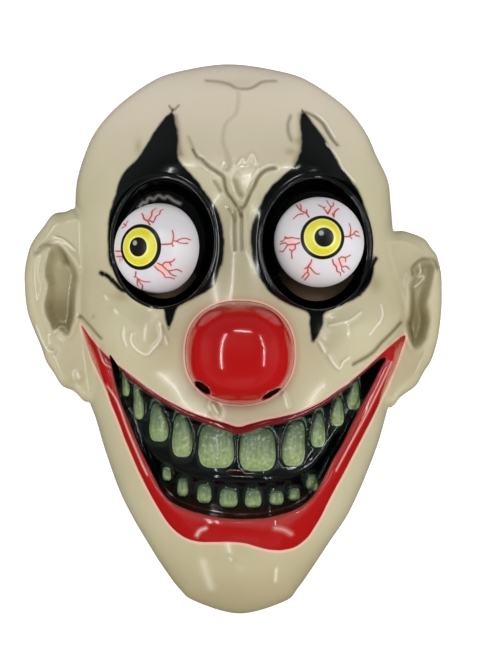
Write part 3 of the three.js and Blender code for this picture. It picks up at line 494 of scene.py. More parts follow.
def addNose(points, z, face):
    offset = np.abs((points - nose["centre"]) / nose["reach"])
    share = (offset**nose["square"]).sum(1)**(1 / nose["square"])
    ball = nose["side"] + nose["ball"] * np.power(np.clip(1 - share**2.6, 0, 1), 1 / 2.2)
    ball = np.where(share > 1, nose["side"] - (share - 1) / nose["edgeWidth"] * 20, ball)
    z = np.where(share < 1.1, softMax(z, ball, nose["fillet"]), z)
    notch = np.zeros(len(points))
    for hole in nostrils:
        size = np.hypot(*((points - hole["at"]) @ turning(hole["turn"]) / hole["size"]).T)
        notch = np.maximum(notch, smoothStep((1.25 - size) / 0.5))
    z = z - notch * np.clip(z - (face - 1.5), 0, None)
    up = (points[:, 1] - nose["centre"][1]) / nose["reach"][1]
    noseTop = smoothStep((up - 0.62) / 0.3) * smoothStep((share - 0.7) / 0.22)
    return z, {"nose": (1 - share) * np.mean(nose["reach"]), "noseTop": noseTop, "notch": notch}


# Where the paint lies: round the eyes, in the olive patches, on the upper lip and low on the gums.
def paintMarks(points, olive):
    x, y = points.T
    inPaint = np.maximum(*[depthInside(points, loop) for loop in paintLoops.values()])
    for line, wide in lashes:
        inPaint = np.maximum(inPaint, wide - distanceTo(points, catmull(line, False, 5)))
    for (px, py), wide, tall, amount in olivePatches:
        olive = np.maximum(olive, amount * bell(np.hypot((x - px) / wide, (y - py) / tall), 1))
    upperEdge, lowerEdge = (distanceTo(points, catmull(lipInner[edge], False, 4))
                            for edge in ("upper", "lower"))
    upper = smoothStep((lowerEdge - upperEdge + 1) / 2)
    upper = upper * smoothStep((x + 62) / 10) * smoothStep((72 - x) / 10)
    gum = np.where(y < -66, bell(lowerEdge - 2.2, 3.2), 0)
    return {"paint": inPaint, "olive": olive, "upper": upper, "gum": gum}


def shapeAt(points):
    x, y = points.T
    face = faceHeight(points)
    wave = np.sin(x / 5.1 + 1.3) * np.sin(y / 6.3) + np.sin(x / 9.7 - y / 8.1 + 2.0)
    z, lineMarks = addCreases(points, face + sizes["waviness"] * wave)
    z, olive = addEars(points, z, face)
    z, mouthMarks = addMouth(points, z, face)
    z, socketMarks = addSockets(points, z)
    z, noseMarks = addNose(points, z, face)
    return z, {**lineMarks, **mouthMarks, **socketMarks, **noseMarks, **paintMarks(points, olive)}


# The outline is the outermost of the face and both ears seen from the face's centre.
angles = faceReach[0]
outlineReach = faceReach[1].copy()
for ear in ears.values():
    outlineReach = np.maximum(outlineReach, reachTable(ear["loop"], faceCentre)[1])
outline = faceCentre + np.column_stack([np.cos(angles), np.sin(angles)])[:-1] * outlineReach[:-1, None]
outline = resample(outline, sizes["edgeStep"], True)
print("outline:", len(outline), "points")


def slotLoop(eye):
    half = eye["oval"] - socketShape["slotInset"]
    start = math.asin((socketShape["slotTop"] - eye["socket"][1]) / half[1])
    turn = np.linspace(math.pi - start, fullTurn + start, 60)
    return eye["socket"] + np.column_stack([np.cos(turn), np.sin(turn)]) * half


def ovalRing(centre, size, step, power=2.0):
    turn = np.linspace(0, fullTurn, 400, endpoint=False)
    c, d = np.cos(turn), np.sin(turn)
    reach = (np.abs(c / size[0])**power + np.abs(d / size[1])**power)**(-1 / power)
    return resample(np.array(centre) + np.column_stack([c, d]) * reach[:, None], step, True)


def nostrilRing(hole, scale):
    return ovalRing((0, 0), np.array(hole["size"]) * scale, 0.6) @ turning(hole["turn"]).T + hole["at"]


def toothRings(tooth):
    centre = np.array(tooth[:2])
    turn = np.linspace(0, fullTurn, 240, endpoint=False)
    ray = np.column_stack([np.cos(turn), np.sin(turn)])
    share, _ = toothShare(centre + ray * tooth[3] / 4, tooth)
    edge = centre + ray * (tooth[3] / 4 / share)[:, None]
    for _ in range(3):  # the share isn't linear where the top narrows, so close in on 1
        share, _ = toothShare(edge, tooth)
        edge = centre + (edge - centre) / share[:, None]
    return [resample(centre + (edge - centre) * scale, 0.7, True)
            for scale in (1.03, 0.99, 0.94, 0.86, 0.74, 0.58)]


# Rows of points along every edge and fold, close together where the surface turns.
def featureRows():
    normal = sideways(outline, True)
    if (outline - faceCentre)[0] @ normal[0] < 0:
        normal = -normal
    rows = [outline - normal * away for away in (0.22, 0.55, 1.0, 1.6, 2.4, 3.3, 4.3)]
    for step, line, closed, offsets in (
        (0.8, lipLoop, True, (-0.9, -0.4, 0, 0.3, 0.7, 1.2, 1.9, 2.8)),
        (0.8, pocketLoop, True, (-2.4, -1.7, -1.1, -0.6, -0.2, 0, 0.25, 0.5, 0.8, 1.1, 1.5, 2.0)),
        (0.9, rowRidge, False, (-2.0, -1.0, 0, 1.0, 2.0)),
    ):
        even = resample(line, step, closed)
        out = sideways(even, closed)
        rows += [even + out * away for away in offsets]
    for grow in (0.0, 0.006, 0.014, 0.023, 0.036, 0.055, 0.08, -0.012, -0.03, -0.06, -0.1, -0.15):
        rows.append(ovalRing(nose["centre"], np.array(nose["reach"]) * (1 + grow), 0.9, nose["square"]))
    for eye in eyes.values():
        for grow in (0.2, -0.15, -0.5, -1.0, -1.7, -2.4, -3.1, -3.7, -4.3, 0.7, 1.3, 2.0, 2.8, 3.7, 4.7):
            rows.append(ovalRing(eye["socket"], eye["oval"] + grow, 0.85))
    for tooth in upperTeeth + lowerTeeth:
        rows += toothRings(tooth)
    for hole in nostrils:
        rows += [nostrilRing(hole, scale) for scale in (0.8, 0.95, 1.1, 1.28)]
    for line, _, wide, _ in creases.values():
        even = resample(catmull(line, False, 6), 0.9)
        out = sideways(even, False)
        rows += [even + out * away * wide for away in (-2.2, -1.5, -1.0, -0.5, 0, 0.5, 1.0, 1.5, 2.2)]
    return np.vstack(rows)


# Drops the later of two points that lie closer than the room it needs.
def thinOut(points, room, fixedCount):
    tree = kdtree.KDTree(len(points))
    for i, (x, y) in enumerate(points):
        tree.insert((x, y, 0), i)
    tree.balance()
    gone = np.zeros(len(points), bool)
    for i in range(len(points)):
        if gone[i]:
            continue
        for _, j, away in tree.find_range((*points[i], 0), room.max()):
            if j > i and j >= fixedCount and away < room[j]:
                gone[j] = True
    return points[~gone]


def gatherPoints():
    holes = [resample(slotLoop(eye), 0.9, True) for eye in eyes.values()]
    holes += [nostrilRing(hole, 0.62) for hole in nostrils]
    loops = [outline] + holes
    edges, start = [], 0
    for loop in loops:
        edges += [(start + i, start + (i + 1) % len(loop)) for i in range(len(loop))]
        start += len(loop)
    fixed, feature = np.vstack(loops), featureRows()
    step = sizes["grid"]
    gx = np.arange(-100, 100, step)
    gy = np.arange(-132, 132, step * math.sqrt(3) / 2)
    grid = np.array([(x + (step / 2 if row % 2 else 0), y) for row, y in enumerate(gy) for x in gx])
    candidates = np.vstack([fixed, feature, grid])
    room = np.repeat([0.0, 0.3, step * 0.6], [len(fixed), len(feature), len(grid)])
    offset = candidates - faceCentre
    reachThere = np.interp(np.arctan2(offset[:, 1], offset[:, 0]) % fullTurn, angles, outlineReach)
    inside = np.hypot(*offset.T) < reachThere - 0.12
    inside[:len(fixed)] = True
    for hole in holes:
        inside[len(fixed):] &= ~isInside(candidates[len(fixed):], hole)
    return thinOut(candidates[inside], room[inside], len(fixed)), edges, holes


def makeFaceSkin():
    points, edges, holes = gatherPoints()
    made = delaunay_2d_cdt([Vector(p) for p in points.tolist()], edges, [], 0, 1e-6)
    flat = np.array([tuple(p) for p in made[0]])
    tris = np.array(made[2])
    middle = flat[tris].mean(1)
    keep = isInside(middle, outline)
    for hole in holes:
        keep &= ~isInside(middle, hole)
    level, marks = shapeAt(flat)
    return np.column_stack([flat, level]), tris[keep], marks


strapHoles = {"up": 26, "level": 7.5, "radius": 2, "sides": 24}


# The trimmed wall from the edge of the face down to the floor, laid out flat to cut the holes.
def makeWall(skin, marks):
    count = len(outline)
    closed = np.vstack([outline, outline[:1]])
    along = np.concatenate([[0], np.cumsum(np.hypot(*np.diff(closed, axis=0).T))])
    top = np.append(skin[:count, 2], skin[0, 2])
    flat = [np.column_stack([along, top]), np.column_stack([along, np.zeros(count + 1)])]
    edges = [(i, i + 1) for i in range(count)] + [(count + 1 + i, count + 2 + i) for i in range(count)]
    edges += [(0, count + 1), (count, 2 * count + 1)]
    start = 2 * count + 2
    holes = []
    for way in (-1, 1):
        offset = outline - (way * sizes["halfWidth"], strapHoles["up"])
        near = np.argmin(np.hypot(*offset.T))
        turn = np.arange(strapHoles["sides"]) * fullTurn / strapHoles["sides"]
        ring = np.column_stack([np.cos(turn), np.sin(turn)]) * strapHoles["radius"]
        holes.append(ring + (along[near], strapHoles["level"]))
        flat.append(holes[-1])
        edges += [(start + i, start + (i + 1) % len(turn)) for i in range(len(turn))]
        start += len(turn)
    rows = []
    for i in range(count):
        for level in np.arange(1.2, top[i] - 0.7, sizes["wallStep"]):
            spot = np.array([along[i] + (0.3 if i else 0.6), level])
            if min(np.hypot(*(spot - hole.mean(0))) for hole in holes) > strapHoles["radius"] + 0.6:
                rows.append(spot)
    flat = np.vstack(flat + [np.array(rows)])
    made = delaunay_2d_cdt([Vector(p) for p in flat.tolist()], edges, [], 0, 1e-6)
    spots, tris = np.array([tuple(p) for p in made[0]]), np.array(made[2])
    middle = spots[tris].mean(1)
    keep = middle[:, 1] < np.interp(middle[:, 0], along, top) - 1e-4
    for hole in holes:
        keep &= ~isInside(middle, hole)
    tris = tris[keep]
    place = np.column_stack([np.interp(spots[:, 0], along, closed[:, k]) for k in (0, 1)] + [spots[:, 1]])
    index = np.arange(len(spots)) + len(skin) - (count + 1)
    index[:count] = np.arange(count)
    index[count] = 0
    index[2 * count + 1] = index[count + 1]
    nearest = np.clip(np.searchsorted(along, spots[:, 0]), 0, count - 1)
    extra = {name: values[:count][nearest[count + 1:]] for name, values in marks.items()}
    return place[count + 1:], index[tris], extra


def normalsOf(points, tris):
    a, b, c = (points[tris[:, k]] for k in range(3))
    cross = np.cross(b - a, c - a)
    total = np.zeros_like(points)
    for k in range(3):
        np.add.at(total, tris[:, k], cross)
    return total / np.maximum(np.linalg.norm(total, axis=1), 1e-12)[:, None]


def openEdges(tris):
    sides = np.vstack([tris[:, [0, 1]], tris[:, [1, 2]], tris[:, [2, 0]]])
    low, high = np.sort(sides, axis=1).T
    _, first, times = np.unique(low * sides.max() * 2 + high, return_index=True, return_counts=True)
    return sides[first[times == 1]]


def evenOut(points, tris, fixed, rounds):
    sides = np.vstack([tris[:, [0, 1]], tris[:, [1, 2]], tris[:, [2, 0]]])
    sides = np.vstack([sides, sides[:, ::-1]])
    count = np.bincount(sides[:, 0], minlength=len(points))[:, None]
    for _ in range(rounds):
        total = np.zeros_like(points)
        np.add.at(total, sides[:, 0], points[sides[:, 1]])
        moved = points + 0.5 * (total / np.maximum(count, 1) - points)
        points = np.where(fixed[:, None], points, moved)
    return points


def addMesh(name, points, faces, marks, materials, faceMaterials=None):
    mesh = bpy.data.meshes.new(name)
    mesh.from_pydata((points * mm).tolist(), [], faces.tolist())
    mesh.update()
    mesh.shade_smooth()
    for mark, values in marks.items():
        attribute = mesh.attributes.new(mark, "FLOAT", "POINT")
        attribute.data.foreach_set("value", np.asarray(values, np.float32))
    for material in materials:
        mesh.materials.append(material)
    if faceMaterials is not None:
        mesh.polygons.foreach_set("material_index", np.asarray(faceMaterials, np.int32))
    piece = bpy.data.objects.new(name, mesh)
    bpy.context.collection.objects.link(piece)
    return piece


def makeShell(outside, inside):
    skin, skinTris, marks = makeFaceSkin()
    wall, wallTris, wallMarks = makeWall(skin, marks)
    points = np.vstack([skin, wall])
    out = wallOutward(points, wallTris)
    tris = np.vstack([skinTris, out])
    marks = {name: np.concatenate([values, wallMarks[name]]) for name, values in marks.items()}
    normals = normalsOf(points, tris)
    rim = points[:, 2] < 1e-6
    normals[rim, 2] = 0
    normals[rim] /= np.maximum(np.linalg.norm(normals[rim], axis=1), 1e-9)[:, None]
    border = openEdges(tris)
    # The back runs straight below the front, but square to it near the outline and on the wall.
    fromEdge = smoothStep((distanceTo(points[:, :2], outline, True) - 1) / 3)[:, None]
    drop = sizes["sheet"] / np.clip(normals[:, 2:], 0.35, 1)
    fixed = fromEdge[:, 0] > 0
    fixed[border.ravel()] = True
    back = evenOut(points - normals * sizes["sheet"], tris, fixed, 5)
    depth = ((back - points) * normals).sum(1)
    back += np.clip(-0.8 * sizes["sheet"] - depth, None, 0)[:, None] * normals
    back += (points - drop * (0, 0, 1) - back) * fromEdge
    back[:, 2] = np.maximum(back[:, 2], 0)
    count = len(points)
    join = np.vstack([np.column_stack([border[:, 1], border[:, 0], border[:, 0] + count]),
                      np.column_stack([border[:, 1], border[:, 0] + count, border[:, 1] + count])])
    faces = np.vstack([tris, tris[:, ::-1] + count, join])
    finish = np.repeat([0, 1, 1], [len(tris), len(tris), len(join)])
    both = {name: np.concatenate([values, values]) for name, values in marks.items()}
    print("shell:", 2 * count, "points,", len(faces), "triangles")
    return addMesh("faceShell", np.vstack([points, back]), faces, both, [outside, inside], finish)


def wallOutward(points, tris):
    a, b, c = (points[tris[:, k]] for k in range(3))
    cross = np.cross(b - a, c - a)
    away = (a + b + c)[:, :2] / 3 - faceCentre
    turned = (cross[:, :2] * away).sum(1) < 0
    return np.where(turned[:, None], tris[:, ::-1], tris)


# What can be changed on the eyeballs: millimetres, measured along the dome from the way it looks.
eyeball = {"radius": 20.5, "wall": 1.0, "rings": 104, "sides": 300, "backRings": 14}
eyePrint = {
    "left": {
        "iris": (0.4, -0.5), "pupil": (0.3, -0.5), "spark": (-1.2, 1.3), "ring": 10.8, "yellow": 8.9,
        "veins": [
            [(5.1, 9.8), (3.4, 11.8), (1.2, 13.2), (-0.1, 15.2), (-1.6, 16.8)],
            [(3.4, 11.8), (3.8, 12.5), (4.4, 15.2), (3.6, 17.9), (3.6, 19.4), (4.6, 21.3)],
            [(6.3, 11.2), (6.7, 13.4), (6.8, 15), (7.9, 16.7), (7.7, 19.4), (8.5, 20.8)],
            [(6.3, 11.2), (4.5, 12.2)], [(-12.8, 12.2), (-8.7, 10.2)],
            [(-12.2, 9.4), (-9.6, 10), (-9.6, 12.5), (-8.7, 12.7)],
            [(10.9, 0.5), (14.6, 0.8), (15.9, 1.2), (16.5, 2.9), (16.5, 5.5), (15.8, 7.8)],
            [(15.9, 1.2), (16.6, -0.1)],
            [(17.1, 2.7), (18, 2.4), (20.1, 3.8), (22.8, 4.5), (25.7, 4)],
            [(18, 2.4), (19.9, 1.7), (22.2, 1.6), (24.1, 1.9)],
            [(9.1, -8.2), (10.9, -9.3), (12.5, -8.1), (14.5, -8.1), (16, -7.8), (17.2, -6.7)],
            [(14.5, -8.1), (15.2, -10)],
            [(10.9, -9.3), (12.1, -11), (13.4, -12.6), (15.9, -12.6), (18.1, -12.7), (20.2, -14.6)],
            [(13.4, -12.6), (14.6, -15), (16.9, -16.8)],
            [(7.5, -9.7), (8.6, -11.4), (10.1, -12.9), (11, -14.4), (11.3, -16.2), (13.6, -16.8),
             (15.6, -18.4)],
            [(-2.7, -12.2), (-4, -14.6), (-3.3, -15.7), (-0.9, -17.6), (2.8, -18.2)],
            [(-4, -14.6), (-5.3, -15.2)], [(-3.3, -15.7), (-6, -19.6), (-7.2, -21.7)],
            [(-3.3, -15.7), (-3.4, -19.4), (-3.1, -20.8), (-7.6, -25.8)],
            [(-17.6, -1.9), (-10, -2.2)], [(-16.4, -4.8), (-9.9, -4.7), (-10.4, -6.4)],
            [(-11.7, -5.2), (-12.8, -7.6)],
        ],
        "flush": [(2.7, 14, 1.7), (5, 18.5, 1.5), (16.8, 2.6, 1.5), (9.9, -10.5, 1.7), (12.9, -9.5, 1.7),
                  (11.8, -13.4, 1.7), (-3.7, -18.5, 2), (-13.2, -3.3, 1.4), (-9.7, 11, 1.1)],
    },
    "right": {
        "iris": (-0.3, -0.2), "pupil": (0.3, -0.3), "spark": (-1.0, 1.5), "ring": 10.3, "yellow": 8.6,
        "veins": [
            [(-11.1, -0.8), (-13.3, -0.4), (-15, 0.1), (-17.2, 0), (-19.4, 0.9)],
            [(-17.2, 0), (-19.2, 0.1), (-20.5, -1.1), (-22.7, -1.2)],
            [(-11.1, -2.6), (-12.7, -3.2), (-15.4, -3.3), (-17.5, -3.3), (-18.8, -2.3), (-21, -2.4),
             (-23.1, -2.7)],
            [(-17.5, -3.3), (-19.4, -5.3), (-21.2, -6.8), (-24.2, -6.6)],
            [(-13.4, -3.4), (-13.4, -5.5), (-15.2, -6.7), (-15.5, -10.2)], [(-15.2, -6.7), (-16.6, -5.7)],
            [(-6.5, 9.5), (-7.5, 11.6), (-7.7, 14)],
            [(-7.5, 11.6), (-9.1, 13), (-10.8, 14.5), (-12.9, 18.1), (-14.2, 21.4)],
            [(-10.8, 14.5), (-10.7, 17.1), (-11.7, 20)],
            [(-9.4, 11.9), (-12, 11.9), (-13.3, 11), (-14.5, 10)],
            [(2.4, 11.2), (1.3, 13.4), (0.5, 15), (-1.6, 16.9)], [(0.5, 15), (1.6, 15.5)],
            [(2.4, 11.2), (3.7, 13.6), (4.5, 15.8), (3.5, 18.8), (3.2, 21.7)],
            [(4.5, 15.8), (5.9, 17), (6.8, 20.2)],
            [(4.7, 11.4), (5.2, 9.6), (5.8, 12.2), (7.1, 14), (8.8, 15.5)],
            [(10.3, 0.3), (12.8, 0.7), (13.7, 2.6), (13.9, 4.9), (13.4, 7.1)],
            [(12.8, 0.7), (15.8, 2.3), (17.3, 3.8), (20, 3.7)], [(15.8, 2.3), (17.6, 1.6), (21.1, 1.8)],
            [(12.8, 0.7), (14.4, -0.4)],
            [(-5.3, -10.7), (-5.9, -12.4), (-7.1, -14.4), (-7.5, -17.4), (-8.9, -18.7), (-11, -22.3)],
            [(-7.1, -14.4), (-8.9, -15.6)], [(-7.5, -17.4), (-6.9, -19.3), (-9.6, -23.7)],
            [(-6.2, -14.7), (-4.6, -16.8), (-3, -18.2), (-1.4, -18.4)],
            [(4.5, -10.5), (5.3, -12.7), (6.9, -14.3), (7.9, -16.9), (9.8, -17.9), (11, -20.2)],
            [(7.6, -10.2), (9, -12.8), (10.1, -14.5), (10.6, -16.4), (12.8, -18.2)],
            [(10.1, -14.5), (12.8, -14.4), (16, -16.6)],
            [(7.6, -10.2), (9.2, -9.3), (11.4, -9.6), (14.1, -8.5)], [(11.4, -9.6), (11.8, -11.9)],
        ],
        "flush": [(-16.1, -1.7, 1.7), (-15.1, -4.5, 1.7), (-9.1, 13.5, 1.8), (3.6, 12.4, 1.7),
                  (5.3, 15.5, 1.4), (13.7, 2.6, 1.4), (-7.8, -17.8, 1.8), (-6.2, -13.4, 1.1),
                  (7.6, -12.7, 1.8), (10.5, -10.9, 1.4)],
    },
}


def makeEyeball(side, material):
    e, printed = eyeball, eyePrint[side]
    profile = [(e["radius"], a) for a in np.linspace(0, math.pi / 2, e["rings"] + 1)[1:]]
    profile += [(e["radius"] - e["wall"], a) for a in np.linspace(math.pi / 2, 0, e["backRings"] + 1)[:-1]]
    turn = np.arange(e["sides"]) * fullTurn / e["sides"]
    ring = np.column_stack([np.cos(turn), np.sin(turn)])
    rows = [np.column_stack([ring * math.sin(a) * r, np.full(len(ring), math.cos(a) * r)])
            for r, a in profile]
    points = np.vstack([[0, 0, e["radius"]]] + rows + [[0, 0, e["radius"] - e["wall"]]])
    arcs = np.vstack([[0, 0]] + [ring * a * e["radius"] for r, a in profile] + [[0, 0]])
    last, n = len(points) - 1, e["sides"]
    i, j = np.arange(n), (np.arange(n) + 1) % n
    faces = [np.column_stack([np.zeros(n, int), 1 + i, 1 + j])]
    for row in range(len(rows) - 1):
        a, b = 1 + row * n, 1 + (row + 1) * n
        faces += [np.column_stack([a + i, b + i, b + j]), np.column_stack([a + i, b + j, a + j])]
    end = 1 + (len(rows) - 1) * n
    faces.append(np.column_stack([end + i, np.full(n, last), end + j]))
    aside, lifted = math.radians(eyes[side]["turn"]), math.radians(eyes[side]["lift"])
    look = (math.sin(aside) * math.cos(lifted), math.sin(lifted), math.cos(aside) * math.cos(lifted))
    turned = Vector((0, 0, 1)).rotation_difference(Vector(look)).to_matrix()
    points = points @ np.array(turned).T + eyes[side]["dome"]
    veins = np.full(len(arcs), 9.0)
    front = np.arange(len(arcs)) <= e["rings"] * n
    for line in printed["veins"]:
        veins[front] = np.minimum(veins[front], distanceTo(arcs[front], catmull(line, False, 5)))
    flush = sum(bell(np.hypot(*(arcs - spot[:2]).T), spot[2]) for spot in printed["flush"])
    flush = np.clip(flush + 0.5 * bell(veins, 0.9), 0, 1)
    marks = {"vein": veins, "flush": flush}
    for mark in ("iris", "pupil", "spark"):
        marks[mark] = np.hypot(*(arcs - np.array(printed[mark])).T)
    marks["irisSize"] = np.full(len(arcs), float(printed["ring"]))
    marks["yellowSize"] = np.full(len(arcs), float(printed["yellow"]))
    return addMesh("eyeball" + side.capitalize(), points, np.vstack(faces), marks, [material])


# Shader helpers. Colours are written as they look on screen, 0 to 255.

def ink(red, green, blue):
    def linear(value):
        value /= 255
        return value / 12.92 if value <= 0.04045 else ((value + 0.055) / 1.055)**2.4
    return (linear(red), linear(green), linear(blue), 1)


def put(tree, kind, values=None, **settings):
    node = tree.nodes.new(kind)
    for name, value in settings.items():
        setattr(node, name, value)
    for name, value in (values or {}).items():
        socket = node.inputs[name]
        if isinstance(value, bpy.types.NodeSocket):
            tree.links.new(value, socket)
        else:
            socket.default_value = value
    return node


def mixed(tree, mask, under, over):
    return put(tree, "ShaderNodeMix", {0: mask, 6: under, 7: over}, data_type="RGBA").outputs[2]


def blended(tree, mask, under, over):
    return put(tree, "ShaderNodeMix", {0: mask, 2: under, 3: over}).outputs[0]


def maths(tree, operation, a, b=0.0):
    return put(tree, "ShaderNodeMath", {0: a, 1: b}, operation=operation).outputs[0]


def placeOn(tree):
    return put(tree, "ShaderNodeTexCoord").outputs["Object"]


def noised(tree, place, scale, detail):
    return put(tree, "ShaderNodeTexNoise",
               {"Vector": place, "Scale": scale, "Detail": detail}).outputs["Fac"]


def mark(tree, name):
    return put(tree, "ShaderNodeAttribute", attribute_name=name).outputs["Fac"]


def ramp(tree, value, low, high, start=0.0, end=1.0):
    return put(tree, "ShaderNodeMapRange", {"Value": value, "From Min": low, "From Max": high,
                                            "To Min": start, "To Max": end},
               interpolation_type="SMOOTHSTEP").outputs[0]


def newGroup(name, inputs, outputs):
    group = bpy.data.node_groups.new(name, "ShaderNodeTree")
    for label, value in inputs:
        socket = group.interface.new_socket(label, in_out="INPUT", socket_type="NodeSocketFloat")
        socket.default_value = value
    for label, kind in outputs:
        group.interface.new_socket(label, in_out="OUTPUT", socket_type=kind)
    return group, group.nodes.new("NodeGroupInput").outputs, group.nodes.new("NodeGroupOutput").inputs


# The edge of a painted area: 1 inside, 0 outside, a little uneven as paint is.
def makePaintEdge():
    group, given, result = newGroup(
        "paintEdge", [("Distance", 0), ("Edge", 0), ("Softness", 0.3), ("Wander", 0.2), ("Scale", 260)],
        [("Mask", "NodeSocketFloat")])
    noise = noised(group, placeOn(group), given["Scale"], 2.0)
    wander = maths(group, "MULTIPLY", maths(group, "SUBTRACT", noise, 0.5), given["Wander"])
    moved = maths(group, "ADD", maths(group, "SUBTRACT", given["Distance"], given["Edge"]), wander)
    half = maths(group, "MULTIPLY", given["Softness"], 0.5)
    group.links.new(ramp(group, moved, maths(group, "MULTIPLY", half, -1.0), half), result["Mask"])
    return group


# Uneven colour of sprayed paint: broad clouds and fine flecks, both round 0.
def makeSprayClouds():
    group, given, result = newGroup(
        "sprayClouds", [("Broad Scale", 28), ("Fine Scale", 420), ("Broad", 0.5), ("Fine", 0.25)],
        [("Mask", "NodeSocketFloat")])
    place = placeOn(group)
    parts = []
    for scale, amount in (("Broad Scale", "Broad"), ("Fine Scale", "Fine")):
        noise = noised(group, place, given[scale], 3.0)
        parts.append(maths(group, "MULTIPLY", maths(group, "SUBTRACT", noise, 0.5), given[amount]))
    total = put(group, "ShaderNodeMath", {0: maths(group, "ADD", *parts), 1: 0.5}, operation="ADD",
                use_clamp=True)
    group.links.new(total.outputs[0], result["Mask"])
    return group


# Fine unevenness of pressed and lacquered plastic, for a bump.
def makePressedGrain():
    group, given, result = newGroup(
        "pressedGrain", [("Ripple Scale", 90), ("Pore Scale", 900), ("Ripple", 1), ("Pore", 0.15)],
        [("Height", "NodeSocketFloat")])
    place = placeOn(group)
    ripple = noised(group, place, given["Ripple Scale"], 1.0)
    pore = noised(group, place, given["Pore Scale"], 2.0)
    height = maths(group, "ADD", maths(group, "MULTIPLY", ripple, given["Ripple"]),
                   maths(group, "MULTIPLY", pore, given["Pore"]))
    group.links.new(height, result["Height"])
    return group


paintEdge, sprayClouds, pressedGrain = makePaintEdge(), makeSprayClouds(), makePressedGrain()


def grouped(tree, group, **values):
    node = tree.nodes.new("ShaderNodeGroup")
    node.node_tree = group
    for name, value in values.items():
        socket = node.inputs[name.replace("_", " ")]
        if isinstance(value, bpy.types.NodeSocket):
            tree.links.new(value, socket)
        else:
            socket.default_value = value
    return node.outputs[0]


def edge(tree, distance, at=0.0, softness=0.3, wander=0.25):
    return grouped(tree, paintEdge, Distance=distance, Edge=at, Softness=softness, Wander=wander)


def addGrain(tree, shader, strength, distance, **grain):
    height = grouped(tree, pressedGrain, **grain)
    bump = put(tree, "ShaderNodeBump", {"Strength": strength, "Distance": distance, "Height": height})
    tree.links.new(bump.outputs[0], shader.inputs["Normal"])


def newMaterial(name):
    material = bpy.data.materials.new(name)
    material.use_nodes = True
    tree = material.node_tree
    return material, tree, tree.nodes["Principled BSDF"]


shellPaint = {
    "skin": (180, 174, 145), "skinWarm": (174, 164, 133), "skinPink": (208, 197, 180),
    "chin": (165, 153, 119), "shade": (92, 80, 48), "olive": (140, 129, 90),
    "black": (3, 5, 5), "outline": (206, 172, 150),
    "lip": (153, 16, 15), "lipDark": (98, 16, 20), "lipEdge": (152, 58, 56),
    "nose": (158, 15, 15), "noseDull": (150, 60, 50), "halo": (176, 112, 92),
    "gap": (20, 29, 23), "gum": (40, 20, 15), "toothTop": (74, 91, 67), "toothLow": (128, 145, 96),
    # The gum arc and glint colours on the next line are painted highlights.
    "toothRim": (168, 180, 140), "gumHighlight": (84, 112, 96), "notch": (38, 9, 8), "glint": (232, 226, 210),
    "rough": 0.2, "roughBlack": 0.12, "roughRed": 0.1, "roughTooth": 0.4, "bump": 0.05,
    "coat": 0.12,
}


def skinColour(tree, c, clouds, level):
    colour = mixed(tree, clouds, c["skin"], c["skinWarm"])
    colour = mixed(tree, ramp(tree, level, 0.06, 0.125, 0, 0.9), colour, c["skinPink"])
    colour = mixed(tree, ramp(tree, level, -0.078, -0.118, 0, 0.9), colour, c["chin"])
    colour = mixed(tree, mark(tree, "olive"), colour, c["olive"])
    return mixed(tree, mark(tree, "crease"), colour, c["shade"])


def lipColour(tree, c, clouds):
    upper, across = mark(tree, "upper"), mark(tree, "lipAcross")
    pale = ramp(tree, maths(tree, "ADD", across, maths(tree, "MULTIPLY", clouds, 0.3)), 0.72, 1.05, 0, 0.75)
    pale = maths(tree, "MULTIPLY", pale, maths(tree, "SUBTRACT", 1.0, upper))
    return mixed(tree, pale, mixed(tree, upper, c["lip"], c["lipDark"]), c["lipEdge"])


# Black, browner low on the gums, a green gap round each tooth, a painted highlight arc over the upper ones.
def gumColour(tree, c, level, tooth, toothUp):
    colour = mixed(tree, mark(tree, "gum"), c["black"], c["gum"])
    colour = mixed(tree, edge(tree, tooth, -1.3, 1.2), colour, c["gap"])
    # Painted highlight along the gum just over each upper tooth.
    arc = maths(tree, "MULTIPLY", edge(tree, tooth, -1.2, 0.6), ramp(tree, toothUp, 0.3, 0.7, 0, 0.85))
    arc = maths(tree, "MULTIPLY", arc, ramp(tree, level, -0.056, -0.052))
    colour = mixed(tree, arc, colour, c["gumHighlight"])
    return mixed(tree, edge(tree, tooth, -0.55, 0.5), colour, c["gap"])


def toothColour(tree, c, place, tooth, toothUp):
    stretched = put(tree, "ShaderNodeMapping", {"Vector": place, "Scale": (900, 90, 0)}).outputs[0]
    streaks = maths(tree, "SUBTRACT", noised(tree, stretched, 1.0, 3.0), 0.5)
    up = maths(tree, "ADD", toothUp, maths(tree, "MULTIPLY", streaks, 1.5))
    colour = mixed(tree, ramp(tree, up, -0.75, 0.75), c["toothLow"], c["toothTop"])
    rim = maths(tree, "MULTIPLY", ramp(tree, tooth, 0.8, 0.2, 0, 0.7), ramp(tree, toothUp, 0.2, -0.5))
    colour = mixed(tree, rim, colour, c["toothRim"])
    speckle = noised(tree, place, 620.0, 2.0)
    colour = mixed(tree, ramp(tree, speckle, 0.5, 0.68, 0, 0.4), colour, c["toothTop"])
    return mixed(tree, ramp(tree, speckle, 0.46, 0.3, 0, 0.45), colour, c["toothRim"])


